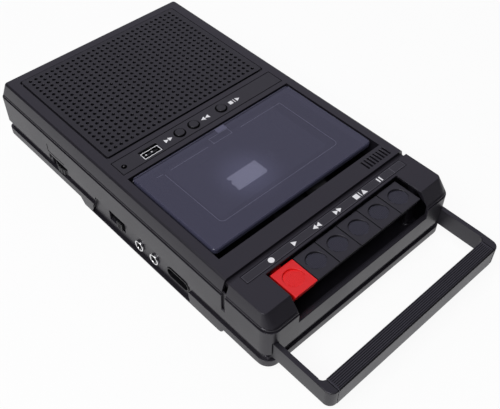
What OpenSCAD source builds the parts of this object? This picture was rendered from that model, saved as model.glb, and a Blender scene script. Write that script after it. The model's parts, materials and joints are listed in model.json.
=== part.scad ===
// Portable cassette recorder: moulded case, flip-up cassette door, six piano keys,
// pull-out carrying handle, built-in speaker and a small transport mechanism.
// X is right seen from the keys, Y points to the speaker end, Z is up from the table.

/* [Case] */
// Width of the case
case_w = 156; // [154:1:168]
// Length of the case from the key end to the speaker end
case_l = 268; // [266:1:284]
// Height of the top cover above the table
body_h = 50; // [49:1:54]
// Thickness of the moulded case walls
wall = 2.2; // [1.9:0.1:2.4]
// Thickness of the case floor
floor_t = 2.4; // [2:0.1:2.8]
// Height of the plinth that the case stands on
plinth_h = 6; // [5.5:0.5:7]
// Setback of the plinth from the key end
plinth_front = 38; // [36:1:40]
// Corner radius of the case seen from above
corner_r = 8; // [7:0.5:9]
// Corner radius at the speaker end
back_corner_r = 4; // [3.5:0.5:5]
// Height of the bottom lip
lip_h = 5.7; // [5:0.1:6]
// Height of the dark groove above the lip
groove_h = 6.3; // [6.2:0.1:7]
// Depth of the dark groove
groove_d = 1.6; // [1.3:0.1:1.8]

/* [Top cover] */
// Height of the cover above its parting line
cover_h = 11; // [10.5:0.5:12]
// Thickness of the cover
cover_t = 2.5; // [2.3:0.1:2.8]
// Inward lean of the cover's sides
side_lean = 3; // [2:0.5:4]
// Run of the sloped front of the key deck
bevel_l = 8.5; // [7:0.5:9]
// Length of the flat key deck
deck_l = 26.5; // [26:0.5:28]
// Step of the key deck below the top
deck_drop = 0.8; // [0.5:0.1:1.2]
// Width of the groove behind the key deck
deck_groove_w = 3.5; // [2.5:0.5:4]
// Depth of inset panels below the top
panel_inset = 1.4; // [1.2:0.1:1.6]

/* [Cassette door] */
// Width of the land beside the cassette well
well_side = 10.4; // [10:0.1:11]
// Length of the cassette well
well_l = 83.2; // [82:0.2:84]
// Gap beside the door window
door_side_gap = 1.4; // [1:0.1:1.8]
// Finger gap in front of the door window
door_front_gap = 5.2; // [4.5:0.1:6]
// Thickness of the door window
window_t = 3.2; // [2.8:0.1:3.6]
// Height of the door window above the cover
window_proud = 0.6; // [0.3:0.1:0.8]

/* [Panels] */
// Width of the land beside the speaker grille
grille_side = 12; // [11:0.5:14]
// Width of the land behind the speaker grille
grille_back = 11; // [10:0.5:14]
// Height of the grille above the cover
grille_proud = 0.6; // [0.3:0.1:0.8]
// Diameter of the grille holes
grille_hole_d = 2.3; // [1.8:0.1:2.6]
// Spacing of the grille holes
grille_pitch = 4.34; // [4:0.02:5]
// Width of the land beside the control strip
strip_side = 11; // [10:0.5:12]
// Length of the control strip along the case
strip_l = 12.8; // [12.4:0.2:13.4]
// Diameter of the small push buttons
button_d = 6.8; // [6:0.1:7]
// Travel of the small push buttons
button_travel = 0.6; // [0.4:0.1:0.8]

/* [Keys] */
// Width of the cheek beside the piano keys
cheek_w = 22.75; // [22:0.25:24]
// Gap between two piano keys
key_gap = 0.5; // [0.4:0.1:0.8]
// Length of a key top
key_l = 20; // [19:0.5:20]
// Depth of the key tops below the cover
key_drop = 3.2; // [2.6:0.1:3.4]
// Height of a key's front face
key_face_h = 9; // [8:0.5:9.5]
// Diameter of the finger dish
dish_d = 12.6; // [11:0.1:13.5]
// Diameter of the key shaft
key_shaft_d = 3; // [2.6:0.1:3.2]

/* [Handle] */
// Reach of the pulled-out handle in front of the case
handle_reach = 41.8; // [40:0.2:46]
// Depth of the grip bar
bar_t = 9.4; // [8.4:0.1:9.6]
// Height of the handle
handle_h = 13.5; // [12.5:0.5:13.5]
// Thickness of the handle arms
arm_t = 3; // [2.6:0.1:3.2]
// Travel of the handle into the case
handle_travel = 28.5; // [24:0.5:28.5]
// Length of the arm that stays in the case
arm_engaged = 39; // [34:1:39]

/* [Transport] */
// Distance between the two reel spindles
reel_span = 42.5; // [42:0.1:43]
// Diameter of the flywheel
flywheel_d = 44; // [40:1:46]
// Diameter of the motor
motor_d = 32; // [28:1:33]
// Diameter of the motor pulley
pulley_d = 10; // [8:0.5:11]
// Diameter of the capstan
capstan_d = 2; // [1.8:0.1:2.4]
// Diameter of the pinch roller
pinch_d = 12; // [11:0.5:12]
// Travel of the head bridge
bridge_travel = 3.9; // [3:0.1:4]

/* [Speaker and power] */
// Outer diameter of the speaker frame
speaker_d = 77; // [72:1:80]
// Depth of the speaker
speaker_depth = 26; // [24:1:28]
// Diameter of a battery cell
cell_d = 14.5; // [14.2:0.1:14.6]
// Length of a battery cell
cell_l = 50.5; // [50:0.1:51]
// Number of battery cells
cell_count = 4; // [2:1:4]

/* [Side controls] */
// Diameter of the volume wheel
volume_d = 32; // [28:1:33]
// Thickness of the volume wheel
volume_t = 5; // [4.4:0.1:5.2]
// Travel of the selector switch
selector_travel = 9; // [6:0.5:9.5]
// Bore of the headphone and microphone sockets
jack_bore_d = 3.6; // [3.5:0.1:4]
// Depth of the socket recess in the left side
recess_d = 2.4; // [2:0.1:2.4]

/* [Clearances] */
// Gap between fixed pieces that drop into each other
fit_gap = 0.3; // [0.2:0.05:0.4]
// Gap beside sliding pieces
slide_gap = 0.5; // [0.4:0.05:0.5]
// Radial gap of pins and shafts
pivot_gap = 0.05; // [0.03:0.01:0.08]

/* [Hidden] */
$fn = 64;
case_shade = [0.2, 0.2, 0.22];
key_red = [0.85, 0.12, 0.12];
cut = 1;
fuse = 0.1;
// Places along the case, from the key end back
half_w = case_w / 2;
half_l = case_l / 2;
front_y = -half_l;
back_y = half_l;
deck_front_y = front_y + bevel_l;
deck_back_y = deck_front_y + deck_l;
main_front_y = deck_back_y + deck_groove_w;
front_land = 12.6;
strip_land = 4.4;
grille_land = 5.3;
well_w = case_w - 2 * well_side;
well_y0 = main_front_y + front_land;
well_y1 = well_y0 + well_l;
strip_w = case_w - 2 * strip_side;
strip_y0 = well_y1 + strip_land;
strip_y1 = strip_y0 + strip_l;
strip_y = (strip_y0 + strip_y1) / 2;
grille_w = case_w - 2 * grille_side;
grille_y0 = strip_y1 + grille_land;
grille_l = back_y - grille_back - grille_y0;
grille_y = grille_y0 + grille_l / 2;
grille_r = 1.4;
grille_edge = 4;

// Heights
top_z = body_h;
under_z = top_z - cover_t;
pocket_z = top_z - panel_inset;
seam_z = top_z - cover_h;
deck_groove_z = under_z - 0.2;
lip_z = plinth_h;
groove_z = lip_z + lip_h;
wall_z = groove_z + groove_h;
floor_z = lip_z + floor_t;
mech_drop = 19;
plate_t = 1.5;
plate_z = top_z - mech_drop;
plate_low = plate_z - plate_t;
sill_drop = 7;
sill_z = seam_z - sill_drop;

// Shell walls
inset_d = groove_d + wall;
inner_x = half_w - inset_d;
inner_y = half_l - inset_d;
inner_r = corner_r - inset_d;
tongue_in = 1.4;
tongue_h = 2.4;
seam_gap = 1;
cover_in = 0.6;
cover_w = case_w - 2 * cover_in;
cover_l = case_l - 2 * cover_in;
cover_low = seam_z + seam_gap;
skirt_h = 1.4;
cover_edge = 0.5;
cover_top_w = cover_w - 2 * side_lean;
cover_top_y1 = back_y - cover_in - side_lean;
cover_top_r = 2.2;
notch_in = 0.4;
notch_h = 13;

// Plinth and feet
plinth_y0 = front_y + plinth_front;
plinth_back_gap = 7.9;
plinth_slope = 5;
plinth_r = 4.5;
plinth_in = 0.4;
plinth_wall = 4;
foot_r = 4.5;
foot_edge = 0.8;
foot_x = half_w - 7.5;
foot_y = back_y - 26;

// Case screws, in mirrored pairs
screw_in = [14.5, 9, 10];
screw_rows = [front_y + 18, strip_y1 + 6.5, back_y - 10];
screw_points = [for (i = [0 : 2]) [half_w - screw_in[i], screw_rows[i]]];
screw_r = 1.5;
screw_head_r = 2.8;
screw_head_h = 1.8;
screw_l = 14;
cross_w = 0.6;
cross_d = 0.7;
post_r = 3.4;
boss_r = 4.2;
post_z = floor_z + 2.4;
screw_seat_z = floor_z - 0.4;

// Handle
arm_x1 = inner_x - slide_gap;
arm_x0 = arm_x1 - arm_t;
handle_y0 = front_y - handle_reach;
bar_y1 = handle_y0 + bar_t;
arm_end_y = front_y + arm_engaged;
handle_z0 = groove_z + 3.5;
handle_z1 = handle_z0 + handle_h;
handle_r = 5;
handle_fillet = 3;
stop_h = 1.4;
stop_l = 4;
step_z = handle_z1 + slide_gap + stop_h;
rail_t = 1.5;
rail_drop = 2;
grip_x = arm_x0 - 2.2;
grip_skin = 1.3;
grip_ribs = 7;
rib_groove = 0.5;

// Left side
recess_y0 = front_y + 68;
recess_y1 = front_y + 160;
recess_slope = 8;
recess_h = 15;
recess_ledge = 1;
recess_x = -half_w + recess_d;
inlet_y = front_y + 80.4;
inlet_z = plinth_h + 4.2;
inlet_r = 4.2;
inlet_span = 12.4;
inlet_l = 13;
inlet_proud = 0.6;
inlet_wall = 0.9;
inlet_floor = 3;
pin_r = 1.2;
pin_span = 8.6;
ear_y = front_y + 102.6;
mic_y = front_y + 117.3;
jack_z = plinth_h + 3.3;
jack_r = 3;
jack_nut_r = 4;
jack_nut_t = 1.5;
jack_body = [12.2, 9.6, 9];
jack_back = 1.5;
selector_y0 = front_y + 133.3;
selector_z0 = plinth_h + 1;
selector_h = 10;
knob_w = 5.5;
knob_end_gap = 0.9;
knob_h = 6;
knob_in = 2;
knob_proud = 1.6;
knob_grooves = 3;
knob_groove = 0.6;
switch_d = 9;
switch_h = 14;
switch_end = 2;
selector_l = selector_travel + knob_w + 2 * knob_end_gap;
volume_y = front_y + 201.75;
volume_x = -half_w + 0.2 + volume_d / 2;
volume_z0 = groove_z + 0.7;
volume_notch_w = 21.5;
volume_notch_h = 11.3;
volume_shaft_r = 2;
pot_r = 8;
thumb_notches = 36;
thumb_notch_r = 0.8;
thumb_notch_out = 0.3;
volume_slot = sqrt(pow(volume_d / 2, 2) - pow(volume_x + inner_x, 2)) + slide_gap;

// Cassette door
door_back_gap = 1.5;
window_x = well_w / 2 - door_side_gap;
window_y0 = well_y0 + door_front_gap;
window_y1 = well_y1 - door_back_gap;
window_z1 = top_z + window_proud;
window_z0 = window_z1 - window_t;
window_r = 3;
hinge_y = window_y1 - 2;
hinge_z = window_z1 - 2.1;
hinge_r = 0.9;
hinge_in = 3;
hinge_out = 3.2;
hinge_boss_r = 3.2;
hinge_boss_t = 0.6;
skirt_t = 1.6;
well_low = plate_z + 3;
carrier_t = 2;
carrier_z = window_z0 - carrier_t;
carrier_low = plate_z + 1.4;
tape_w = 100.4;
tape_l = 63.8;
tape_y0 = well_y0 + 11.4;
tape_gap = 0.7;
rail_in = 4.2;
rail_setback = 5;
carrier_back = 1.4;
frame_front = 13;
lip_t = 1.2;
frame_in = 6;
frame_y1 = tape_y0 + tape_l + tape_gap;

// Transport mechanism
reel_y = tape_y0 + 35;
plate_x = 56;
plate_y0 = main_front_y + 3.5;
plate_y1 = well_y1 - 2.3;
mech_posts = [[-50, plate_y0 + 6], [50, plate_y0 + 6], [-50, plate_y1 - 8], [50, plate_y1 - 8]];
mech_post_r = 3;
mech_screw_r = 1;
plate_screw_l = 7;
plate_screw_head_r = 1.9;
plate_screw_head_h = 1;
ear_l = 4.5;
ear_drop = 3.5;
ear_rise = 3.8;
ear_foot = 7;
reflector_l = 12;
reflector_back = 3.5;
reflector_h = 2;
reflector_gap = 1.2;
running_gap = 0.4;
spindle_table_r = 8;
spindle_r = 2.8;
spindle_fin_r = 4.4;
spindle_fin_t = 1.2;
spindle_table_t = 2.2;
spindle_tip_h = 1;
stud_r = 1;
spindle_z1 = plate_z + 12.5;
capstan = [20.7, tape_y0 + 9];
capstan_r = capstan_d / 2;
capstan_z1 = plate_z + 12;
bearing_r = 3;
bearing_proud = 1.2;
bearing_flange_r = 5;
bearing_flange_t = 1.5;
flywheel_z = 5.5;
flywheel_t = 7;
capstan_z0 = flywheel_z - 1.3;
hub_h = 4;
hub_z = flywheel_z + flywheel_t + hub_h;
wheel_hub_r = 5;
wheel_groove_w = 4.5;
wheel_groove_d = 1.5;
motor = [-36, capstan[1] - 7.5];
motor_boss_r = 4;
motor_boss_h = 0.8;
motor_shaft_r = 1;
motor_shaft_l = 7;
pulley_r = pulley_d / 2;
pulley_rim = 1;
belt_gap = 0.6;
belt_w = 1.8;
belt_t = 1.2;
belt_z = flywheel_z + 1.4;
motor_top_gap = 0.9;
motor_h = plate_low - (belt_z + belt_w + belt_gap + pulley_rim + motor_boss_h + motor_top_gap);
bridge_x = 34;
bridge_z = plate_z + running_gap;
bridge_t = 1.2;
bridge_y0 = plate_y0 + 1;
bridge_y1 = tape_y0 + 0.5;
bridge_top = bridge_z + bridge_t;
roller = [capstan[0], capstan[1] - capstan_r - pinch_d / 2 - fit_gap - bridge_travel];
roller_h = 8;
arm_w = 15;
arm_l = 12;
arm_plate_t = 0.8;
head_gap = 2.2;
head_w = 12;
head_l = 8.4;
head_h = 10;
nose_l = 2;
erase_x = 16;

// Keys
key_count = 6;
bay_side = 2;
bay_x = half_w - cheek_w;
key_pitch = 2 * (bay_x - bay_side) / key_count;
key_w = key_pitch - key_gap;
key_y1 = deck_front_y + 17.3;
key_y0 = key_y1 - key_l;
key_z = top_z - key_drop;
bay_y1 = key_y1 + 1;
shaft_y = key_y1 + 11.2;
shaft_z = key_z - 10.8;
shaft_r = key_shaft_d / 2;
hub_r = 3.2;
key_lean = 3;
key_skin = 1.8;
key_top_t = 3;
key_back_h = 5;
dish_fall = 0.65;
lever_w = 7;
ear_t = 1.8;
spring_l = 5;
spring_t = 1.2;

// Panels under the top
speaker_x = -24;
speaker_r = speaker_d / 2;
speaker_hole_r = speaker_r - 5;
speaker_low = under_z - speaker_depth;
magnet_r = 20;
magnet_h = 8.5;
basket_t = 1.2;
flange_t = 1.8;
coil_r = 6;
cone_t = 0.8;
cone_roll = 4;
dome_r = 8;
dome_h = 3;
usb = [-42.35, strip_y - 1.75];
usb_w = 13.3;
usb_l = 5.5;
usb_wall = 0.4;
usb_floor = 1;
usb_sink = 0.2;
tongue_w = 11.2;
tongue_sink = 1.6;
led_in = 4.3;
led = [led_in - strip_w / 2, strip_y - 0.9];
led_r = 1.1;
button_y = strip_y - 0.3;
button_x = [-18.1, -6.5, 17.2];
button_flange = 1.1;
button_proud = 0.9;
button_low = top_z - 5.4;
board_t = 1.6;
control_board_z = top_z - 12;
strip_opening = 1.2;
strip_ledge = 3;
strip_post_in = 12;
strip_posts = [(led[0] + led_r + usb[0] - usb_w / 2) / 2, strip_w / 2 - strip_post_in];
strip_post_r = 2.2;
control_board_end = [2, 7];
control_board_x = [control_board_end[0] - strip_w / 2, strip_w / 2 - control_board_end[1]];
control_board_in = 0.6;
tact_w = 6;
tact_h = 4;
plunger_r = 1.6;
label_t = 0.4;
label_w = strip_w - 0.5;
label_y0 = bay_y1 + 2;
label_y1 = deck_back_y - 0.6;
mic_side = 21;
mic_x = half_w - mic_side;
mic_r = 4;
mic_h = 6;
mic_capsule_y = main_front_y + wall + mic_r + fit_gap;
mic_slots = 8;
mic_slot_pitch = 2.8;
mic_slot_l = 7;
mic_slot_w = 1.3;

// Battery bay
bay_wall = 1.6;
bay_side_gap = 10.7;
bay_back_gap = 16.1;
cell_end_gap = 6;
cell_side_gap = 1;
cell_row = cell_count * cell_d + 2 * cell_side_gap;
cell_x1 = inner_x - bay_side_gap;
cell_x0 = cell_x1 - cell_l - cell_end_gap;
cell_y1 = back_y - bay_back_gap;
cell_y0 = cell_y1 - cell_row;
cell_z = floor_z + cell_d / 2;
bay_roof_z = floor_z + cell_d + 1.2;
contact_t = 0.4;
contact_w = 9;
contact_spring_r = 4;
door_rabbet = 1.4;
door_lap = 2;
door_grooves = 5;
door_groove_in = 18;
door_groove_w = 1.2;
door_groove_d = 0.5;
plinth_y1 = cell_y0 - door_lap - plinth_back_gap;

// Main board and transformer
main_board_z = floor_z + 1.6;
main_board_side = 4.2;
main_board_gap = 8.4;
main_board_front = 17.4;
main_board_back = 17.1;
main_board_x = [main_board_side - inner_x, cell_x0 - bay_wall - main_board_gap];
main_board_y = [strip_y1 + main_board_front, back_y - main_board_back];
board_post_r = 2.5;
board_post_in = 6;
core_w = 32;
core_l = 22;
core_top_gap = 4.1;
core_h = plate_low - floor_t - core_top_gap;
coil_w = 18;
coil_l = 30;
coil_h = 15;
transformer_gap = 4.2;
transformer_at = [inlet_l + transformer_gap + core_w / 2 - inner_x, inlet_y + 22];

// Range about a middle, and range from a start
function span(mid, half) = [mid - half, mid + half];
function run(start, length) = [start, start + length];

// Box between two corners
module block(x, y, z) {
    translate([x[0], y[0], z[0]]) cube([x[1] - x[0], y[1] - y[0], z[1] - z[0]]);
}

// Rectangle with round corners, centred; its back corners may have a radius of their own
module rounded_rect(w, l, r, back_r = undef) {
    rb = is_undef(back_r) ? r : back_r;
    translate([-w / 2, r - l / 2]) square([w, l - r - rb]);
    translate([r - w / 2, -l / 2]) square([w - 2 * r, l / 2]);
    translate([rb - w / 2, 0]) square([w - 2 * rb, l / 2]);
    for (s = [-1, 1]) {
        translate([s * (w / 2 - r), r - l / 2]) circle(r);
        translate([s * (w / 2 - rb), l / 2 - rb]) circle(rb);
    }
}

// Upright slab with round corners
module rounded_slab(w, l, r, z, y = 0, back_r = undef) {
    translate([0, y, z[0]]) linear_extrude(z[1] - z[0]) rounded_rect(w, l, r, back_r);
}

// Radius of the back corners at a distance inside the case's outline
function back_r_at(inset) = max(back_corner_r - inset, 0.5);

// Slab in the outline of the case, set in from its walls
module case_slab(inset, z) {
    rounded_slab(case_w - 2 * inset, case_l - 2 * inset, corner_r - inset, z, back_r = back_r_at(inset));
}

// Profile drawn in Y and Z, pushed out along X
module along_x(x) {
    translate([x[0], 0, 0]) rotate([90, 0, 90]) linear_extrude(x[1] - x[0]) children();
}

// Rod along X
module rod_x(r, x, y, z) {
    translate([x[0], y, z]) rotate([0, 90, 0]) cylinder(r = r, h = x[1] - x[0]);
}

// Upright rod
module rod_z(r, z, at) {
    translate([at[0], at[1], z[0]]) cylinder(r = r, h = z[1] - z[0]);
}

// The same piece on the left and the right
module both_sides() {
    children();
    mirror([1, 0, 0]) children();
}

// Middle of a key, counted from the left
function key_x(i) = (i - (key_count - 1) / 2) * key_pitch;

// Height of the case floor at a place along the case
function floor_under(y) =
    y > plinth_y0 + plinth_wall && y < plinth_y1 - plinth_slope - plinth_wall ? floor_t : floor_z;

module at_case_screws() {
    both_sides() for (p = screw_points) translate([p[0], p[1], 0]) children();
}

// Lower case

module plinth_profile() {
    polygon([
        [plinth_y0 + plinth_r, 0], [plinth_y1 - plinth_slope, 0], [plinth_y1, plinth_h],
        [plinth_y1, plinth_h + cut], [plinth_y0, plinth_h + cut], [plinth_y0, plinth_r]
    ]);
    translate([plinth_y0 + plinth_r, plinth_r]) circle(plinth_r);
}

module recess_profile() {
    polygon([
        [recess_y0, recess_ledge], [recess_y0, plinth_h + recess_h], [recess_y1, plinth_h + recess_h],
        [recess_y1 + recess_slope, recess_ledge]
    ]);
}

module inlet_profile(r) {
    for (s = [-1, 1]) translate([inlet_y + s * inlet_span / 2, inlet_z]) circle(r);
    translate([inlet_y, inlet_z]) square([inlet_span, 2 * r], center = true);
}

module case_shell() {
    difference() {
        union() {
            case_slab(0, [lip_z, groove_z]);
            case_slab(groove_d, [groove_z - cut, wall_z + cut]);
            case_slab(0, [wall_z, seam_z]);
            case_slab(tongue_in, [seam_z - cut, seam_z + tongue_h]);
            along_x([-half_w + plinth_in, half_w - plinth_in]) plinth_profile();
        }
        case_slab(inset_d, [floor_z, step_z + cut]);
        case_slab(wall, [step_z, seam_z + tongue_h + cut]);
        block([-inner_x, inner_x], [plinth_y0 + plinth_wall, plinth_y1 - plinth_slope - plinth_wall],
            [floor_t, floor_z + cut]);
    }
}

module handle_rails() {
    rail_x1 = arm_x0 - slide_gap;
    rail_x0 = rail_x1 - rail_t;
    rail_y = [-inner_y - cut, arm_end_y];
    both_sides() {
        block([rail_x0, rail_x1], rail_y, [floor_z - cut, handle_z1 - rail_drop]);
        block([rail_x0, inner_x + cut], rail_y, [floor_z - cut, handle_z0 - slide_gap]);
        // end stop of the pushed-in handle
        block([arm_x0, inner_x + cut], run(arm_end_y + handle_travel + fit_gap, rail_t),
            [handle_z0 + rail_t, handle_z1]);
    }
}

module battery_bay() {
    difference() {
        block([cell_x0 - bay_wall, cell_x1 + bay_wall], [cell_y0 - bay_wall, cell_y1 + bay_wall],
            [floor_z - cut, bay_roof_z + bay_wall]);
        block([cell_x0, cell_x1], [cell_y0, cell_y1], [floor_z - 2 * cut, bay_roof_z]);
    }
}

module lower_case() {
    color(case_shade) difference() {
        union() {
            case_shell();
            handle_rails();
            battery_bay();
            both_sides() for (p = screw_points) rod_z(boss_r, [floor_under(p[1]) - cut, post_z], p);
            for (p = mech_posts) rod_z(mech_post_r, [floor_t - cut, plate_low], p);
            for (x = main_board_x + board_post_in * [1, -1], y = main_board_y + board_post_in * [2, -1])
                rod_z(board_post_r, [floor_z - cut, main_board_z], [x, y]);
            rod_z(bearing_r, [floor_t - cut, capstan_z0 - fuse], capstan);
        }
        // key bay and handle slots in the front wall
        block([-bay_x, bay_x], [front_y - cut, front_y + inset_d + cut], [sill_z, seam_z + tongue_h + cut]);
        both_sides() {
            block([arm_x0 - slide_gap, inner_x], [front_y - cut, -inner_y + cut],
                [handle_z0 - slide_gap, handle_z1 + slide_gap]);
            block([arm_x0 - slide_gap, inner_x], [-inner_y, -inner_y + inner_r + cut],
                [handle_z0 - slide_gap, step_z]);
        }
        // notch that carries the deck groove down the sides
        both_sides() block([half_w - tongue_in, half_w + cut],
            [deck_back_y + notch_in, main_front_y - notch_in], [seam_z - notch_h, seam_z + cut]);
        // socket recess and its openings
        along_x([-half_w - cut, recess_x]) recess_profile();
        for (y = [ear_y, mic_y]) rod_x(jack_r + fit_gap / 3, [-half_w, -inner_x + cut], y, jack_z);
        along_x([-half_w, -inner_x + cut]) inlet_profile(inlet_r + fit_gap / 3);
        block([-half_w, -inner_x + cut], run(selector_y0, selector_l), run(selector_z0, selector_h));
        // finger notch and slot of the volume wheel
        block([-half_w - cut, -half_w + wall], span(volume_y, volume_notch_w / 2),
            [groove_z, groove_z + volume_notch_h]);
        block([-half_w, -inner_x + cut], span(volume_y, volume_slot),
            [volume_z0 - slide_gap, volume_z0 + volume_t + slide_gap]);
        // battery opening, its rabbet and the screw holes
        block([cell_x0, cell_x1], [cell_y0, cell_y1], [lip_z - cut, floor_z + cut]);
        block([cell_x0 - door_lap, cell_x1 + door_lap], [cell_y0 - door_lap, cell_y1 + door_lap],
            [lip_z - cut, lip_z + door_rabbet]);
        at_case_screws() {
            rod_z(screw_r + fit_gap / 3, [-cut, post_z + cut], [0, 0]);
            rod_z(screw_head_r + fit_gap, [-cut, screw_seat_z], [0, 0]);
        }
        for (p = mech_posts) rod_z(mech_screw_r + pivot_gap, [plate_low - plate_screw_l, plate_low + cut], p);
    }
}

module battery_door() {
    color(case_shade) difference() {
        block([cell_x0 - door_lap + fit_gap, cell_x1 + door_lap - fit_gap],
            [cell_y0 - door_lap + fit_gap, cell_y1 + door_lap - fit_gap], [lip_z, lip_z + door_rabbet]);
        // finger grooves
        for (i = [1 : door_grooves])
            block([cell_x0, cell_x1] + door_groove_in * [1, -1],
                run(cell_y0 + 2 * door_groove_w * i, door_groove_w), [lip_z - cut, lip_z + door_groove_d]);
    }
}

module rubber_feet() {
    color([0.1, 0.1, 0.1]) both_sides() translate([foot_x, foot_y, 0]) {
        cylinder(r1 = foot_r - foot_edge, r2 = foot_r, h = foot_edge);
        translate([0, 0, foot_edge]) cylinder(r = foot_r, h = plinth_h - foot_edge);
    }
}

module cross_screw(r, head_r, head_h, l) {
    difference() {
        union() {
            translate([0, 0, -head_h]) cylinder(r = head_r, h = head_h);
            cylinder(r = r, h = l);
        }
        for (a = [0, 90])
            rotate(a) block(span(0, head_r * 0.6), span(0, cross_w / 2), [-head_h - cut, -head_h + cross_d]);
    }
}

module case_screws() {
    color([0.6, 0.6, 0.62]) at_case_screws() translate([0, 0, screw_seat_z])
        cross_screw(screw_r, screw_head_r, screw_head_h, screw_l);
}

// Top cover

module cover_form(inset, z_low, z_top) {
    y0 = deck_front_y + inset;
    y1 = cover_top_y1 - inset;
    hull() {
        rounded_slab(cover_w - 2 * inset, cover_l - 2 * inset, corner_r - inset,
            run(z_low, cover_edge), back_r = back_r_at(inset), $fn = 32);
        rounded_slab(cover_top_w - 2 * inset, y1 - y0, cover_top_r,
            [z_top - fuse, z_top], (y0 + y1) / 2, $fn = 32);
    }
}

module well_skirt() {
    difference() {
        block(span(0, well_w / 2 + skirt_t), [well_y0 - skirt_t, well_y1 + skirt_t],
            [well_low, under_z + fuse]);
        block(span(0, well_w / 2), [well_y0, well_y1], [well_low - cut, under_z + cut]);
    }
}

module top_cover() {
    color([0.22, 0.22, 0.24]) difference() {
        union() {
            difference() {
                cover_form(0, cover_low, top_z);
                cover_form(cover_t, cover_low + skirt_h, under_z);
                case_slab(tongue_in - fit_gap, [cover_low - cut, cover_low + skirt_h + fuse]);
            }
            block(span(0, cover_top_w / 2 - cover_t), [deck_back_y - wall, main_front_y + wall],
                [under_z - wall, under_z + fuse]);
            well_skirt();
            both_sides() block([well_w / 2, well_w / 2 + hinge_out + hinge_boss_t],
                [hinge_y - hinge_boss_r, well_y1], [under_z - hinge_boss_r, under_z + fuse]);
            at_case_screws() rod_z(post_r, [post_z, under_z + fuse], [0, 0]);
        }
        at_case_screws() rod_z(screw_r + pivot_gap, [post_z - cut, screw_seat_z + screw_l + 1], [0, 0]);
        // key deck step, groove behind it and the open key bay
        block([-half_w, half_w], [front_y - cut, main_front_y - cut], [top_z - deck_drop, top_z + cut]);
        block([-half_w, half_w], [deck_back_y, main_front_y], [deck_groove_z, top_z + cut]);
        both_sides() block([cover_top_w / 2 - cover_in, half_w], [deck_back_y, main_front_y],
            [cover_low - cut, top_z]);
        block([-bay_x, bay_x], [front_y - cut, bay_y1], [cover_low - cut, top_z + cut]);
        // cassette well and hinge bores
        block(span(0, well_w / 2), [well_y0, well_y1], [well_low - cut, top_z + cut]);
        both_sides() rod_x(hinge_r + pivot_gap, [well_w / 2 - cut, well_w / 2 + hinge_out], hinge_y, hinge_z);
        // pockets for the strip, the grille and the label
        block(span(0, strip_w / 2 + fit_gap), span(strip_y, strip_l / 2 + fit_gap), [pocket_z, top_z + cut]);
        block(span(0, strip_w / 2 - strip_ledge), span(strip_y, strip_l / 2 - strip_opening),
            [under_z - cut, top_z]);
        rounded_slab(grille_w + 4 * fit_gap, grille_l + 4 * fit_gap, grille_r + 2 * fit_gap,
            [pocket_z, top_z + cut], grille_y);
        rod_z(speaker_hole_r, [under_z - cut, top_z], [speaker_x, grille_y]);
        block(span(0, label_w / 2 + fit_gap), [label_y0 - fit_gap, label_y1 + fit_gap],
            [top_z - deck_drop - label_t, top_z]);
        for (i = [0 : mic_slots - 1])
            block(span(mic_x + (i - (mic_slots - 1) / 2) * mic_slot_pitch, mic_slot_w / 2),
                span(mic_capsule_y, mic_slot_l / 2), [under_z - cut, top_z + cut]);
    }
}

// Speaker

module speaker_grille() {
    columns = floor((grille_w - 2 * grille_edge) / grille_pitch) + 1;
    rows = floor((grille_l - 2 * grille_edge) / grille_pitch) + 1;
    color(case_shade) translate([0, grille_y, pocket_z]) linear_extrude(panel_inset + grille_proud)
        difference() {
            rounded_rect(grille_w, grille_l, grille_r);
            for (i = [0 : columns - 1], j = [0 : rows - 1])
                translate(grille_pitch * [i - (columns - 1) / 2, j - (rows - 1) / 2])
                    circle(d = grille_hole_d, $fn = 16);
        }
}

module about_speaker() {
    translate([speaker_x, grille_y, 0]) rotate_extrude() children();
}

module speaker_frame() {
    neck_z = speaker_low + magnet_h;
    color([0.5, 0.5, 0.52]) about_speaker() polygon([
        [speaker_r, under_z], [speaker_hole_r, under_z], [speaker_hole_r, under_z - basket_t],
        [magnet_r, neck_z + basket_t], [coil_r, neck_z + basket_t], [coil_r, neck_z],
        [magnet_r + basket_t, neck_z], [speaker_hole_r + basket_t, under_z - flange_t],
        [speaker_r, under_z - flange_t]
    ]);
}

module speaker_cone() {
    neck_z = speaker_low + magnet_h + 2 * basket_t;
    rim_r = speaker_hole_r - fit_gap;
    color([0.13, 0.13, 0.13]) about_speaker() polygon([
        [rim_r, under_z], [rim_r, under_z - cone_t], [rim_r - cone_roll, under_z - cone_t],
        [dome_r, neck_z], [0, neck_z + dome_h], [0, neck_z + dome_h + cone_t],
        [dome_r, neck_z + 2 * cone_t], [rim_r - cone_roll, under_z]
    ]);
}

module speaker_magnet() {
    color([0.25, 0.25, 0.27]) rod_z(magnet_r, [speaker_low, speaker_low + magnet_h], [speaker_x, grille_y]);
}

// Control strip

module control_strip() {
    color(case_shade) {
        difference() {
            block(span(0, strip_w / 2), [strip_y0, strip_y1], [pocket_z, top_z]);
            for (x = button_x) rod_z(button_d / 2 + fit_gap, [pocket_z - cut, top_z + cut], [x, button_y]);
            rod_z(led_r + fit_gap / 3, [pocket_z - cut, top_z + cut], led);
            block(span(usb[0], usb_w / 2 + fit_gap), [usb[1] - usb_l / 2 - fit_gap, usb[1] + usb_l / 2 + 2],
                [pocket_z - cut, top_z + cut]);
        }
        for (x = strip_posts) rod_z(strip_post_r, [control_board_z, pocket_z + fuse], [x, strip_y]);
    }
}

module control_board() {
    color([0.1, 0.35, 0.2]) block(control_board_x, span(strip_y, strip_l / 2 - control_board_in),
        [control_board_z - board_t, control_board_z]);
}

module tact_switches() {
    color([0.15, 0.15, 0.15]) for (x = button_x) {
        block(span(x, tact_w / 2), span(button_y, tact_w / 2), run(control_board_z, tact_h));
        rod_z(plunger_r, [control_board_z + tact_h - fuse, button_low - button_travel - fuse], [x, button_y]);
    }
}

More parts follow.
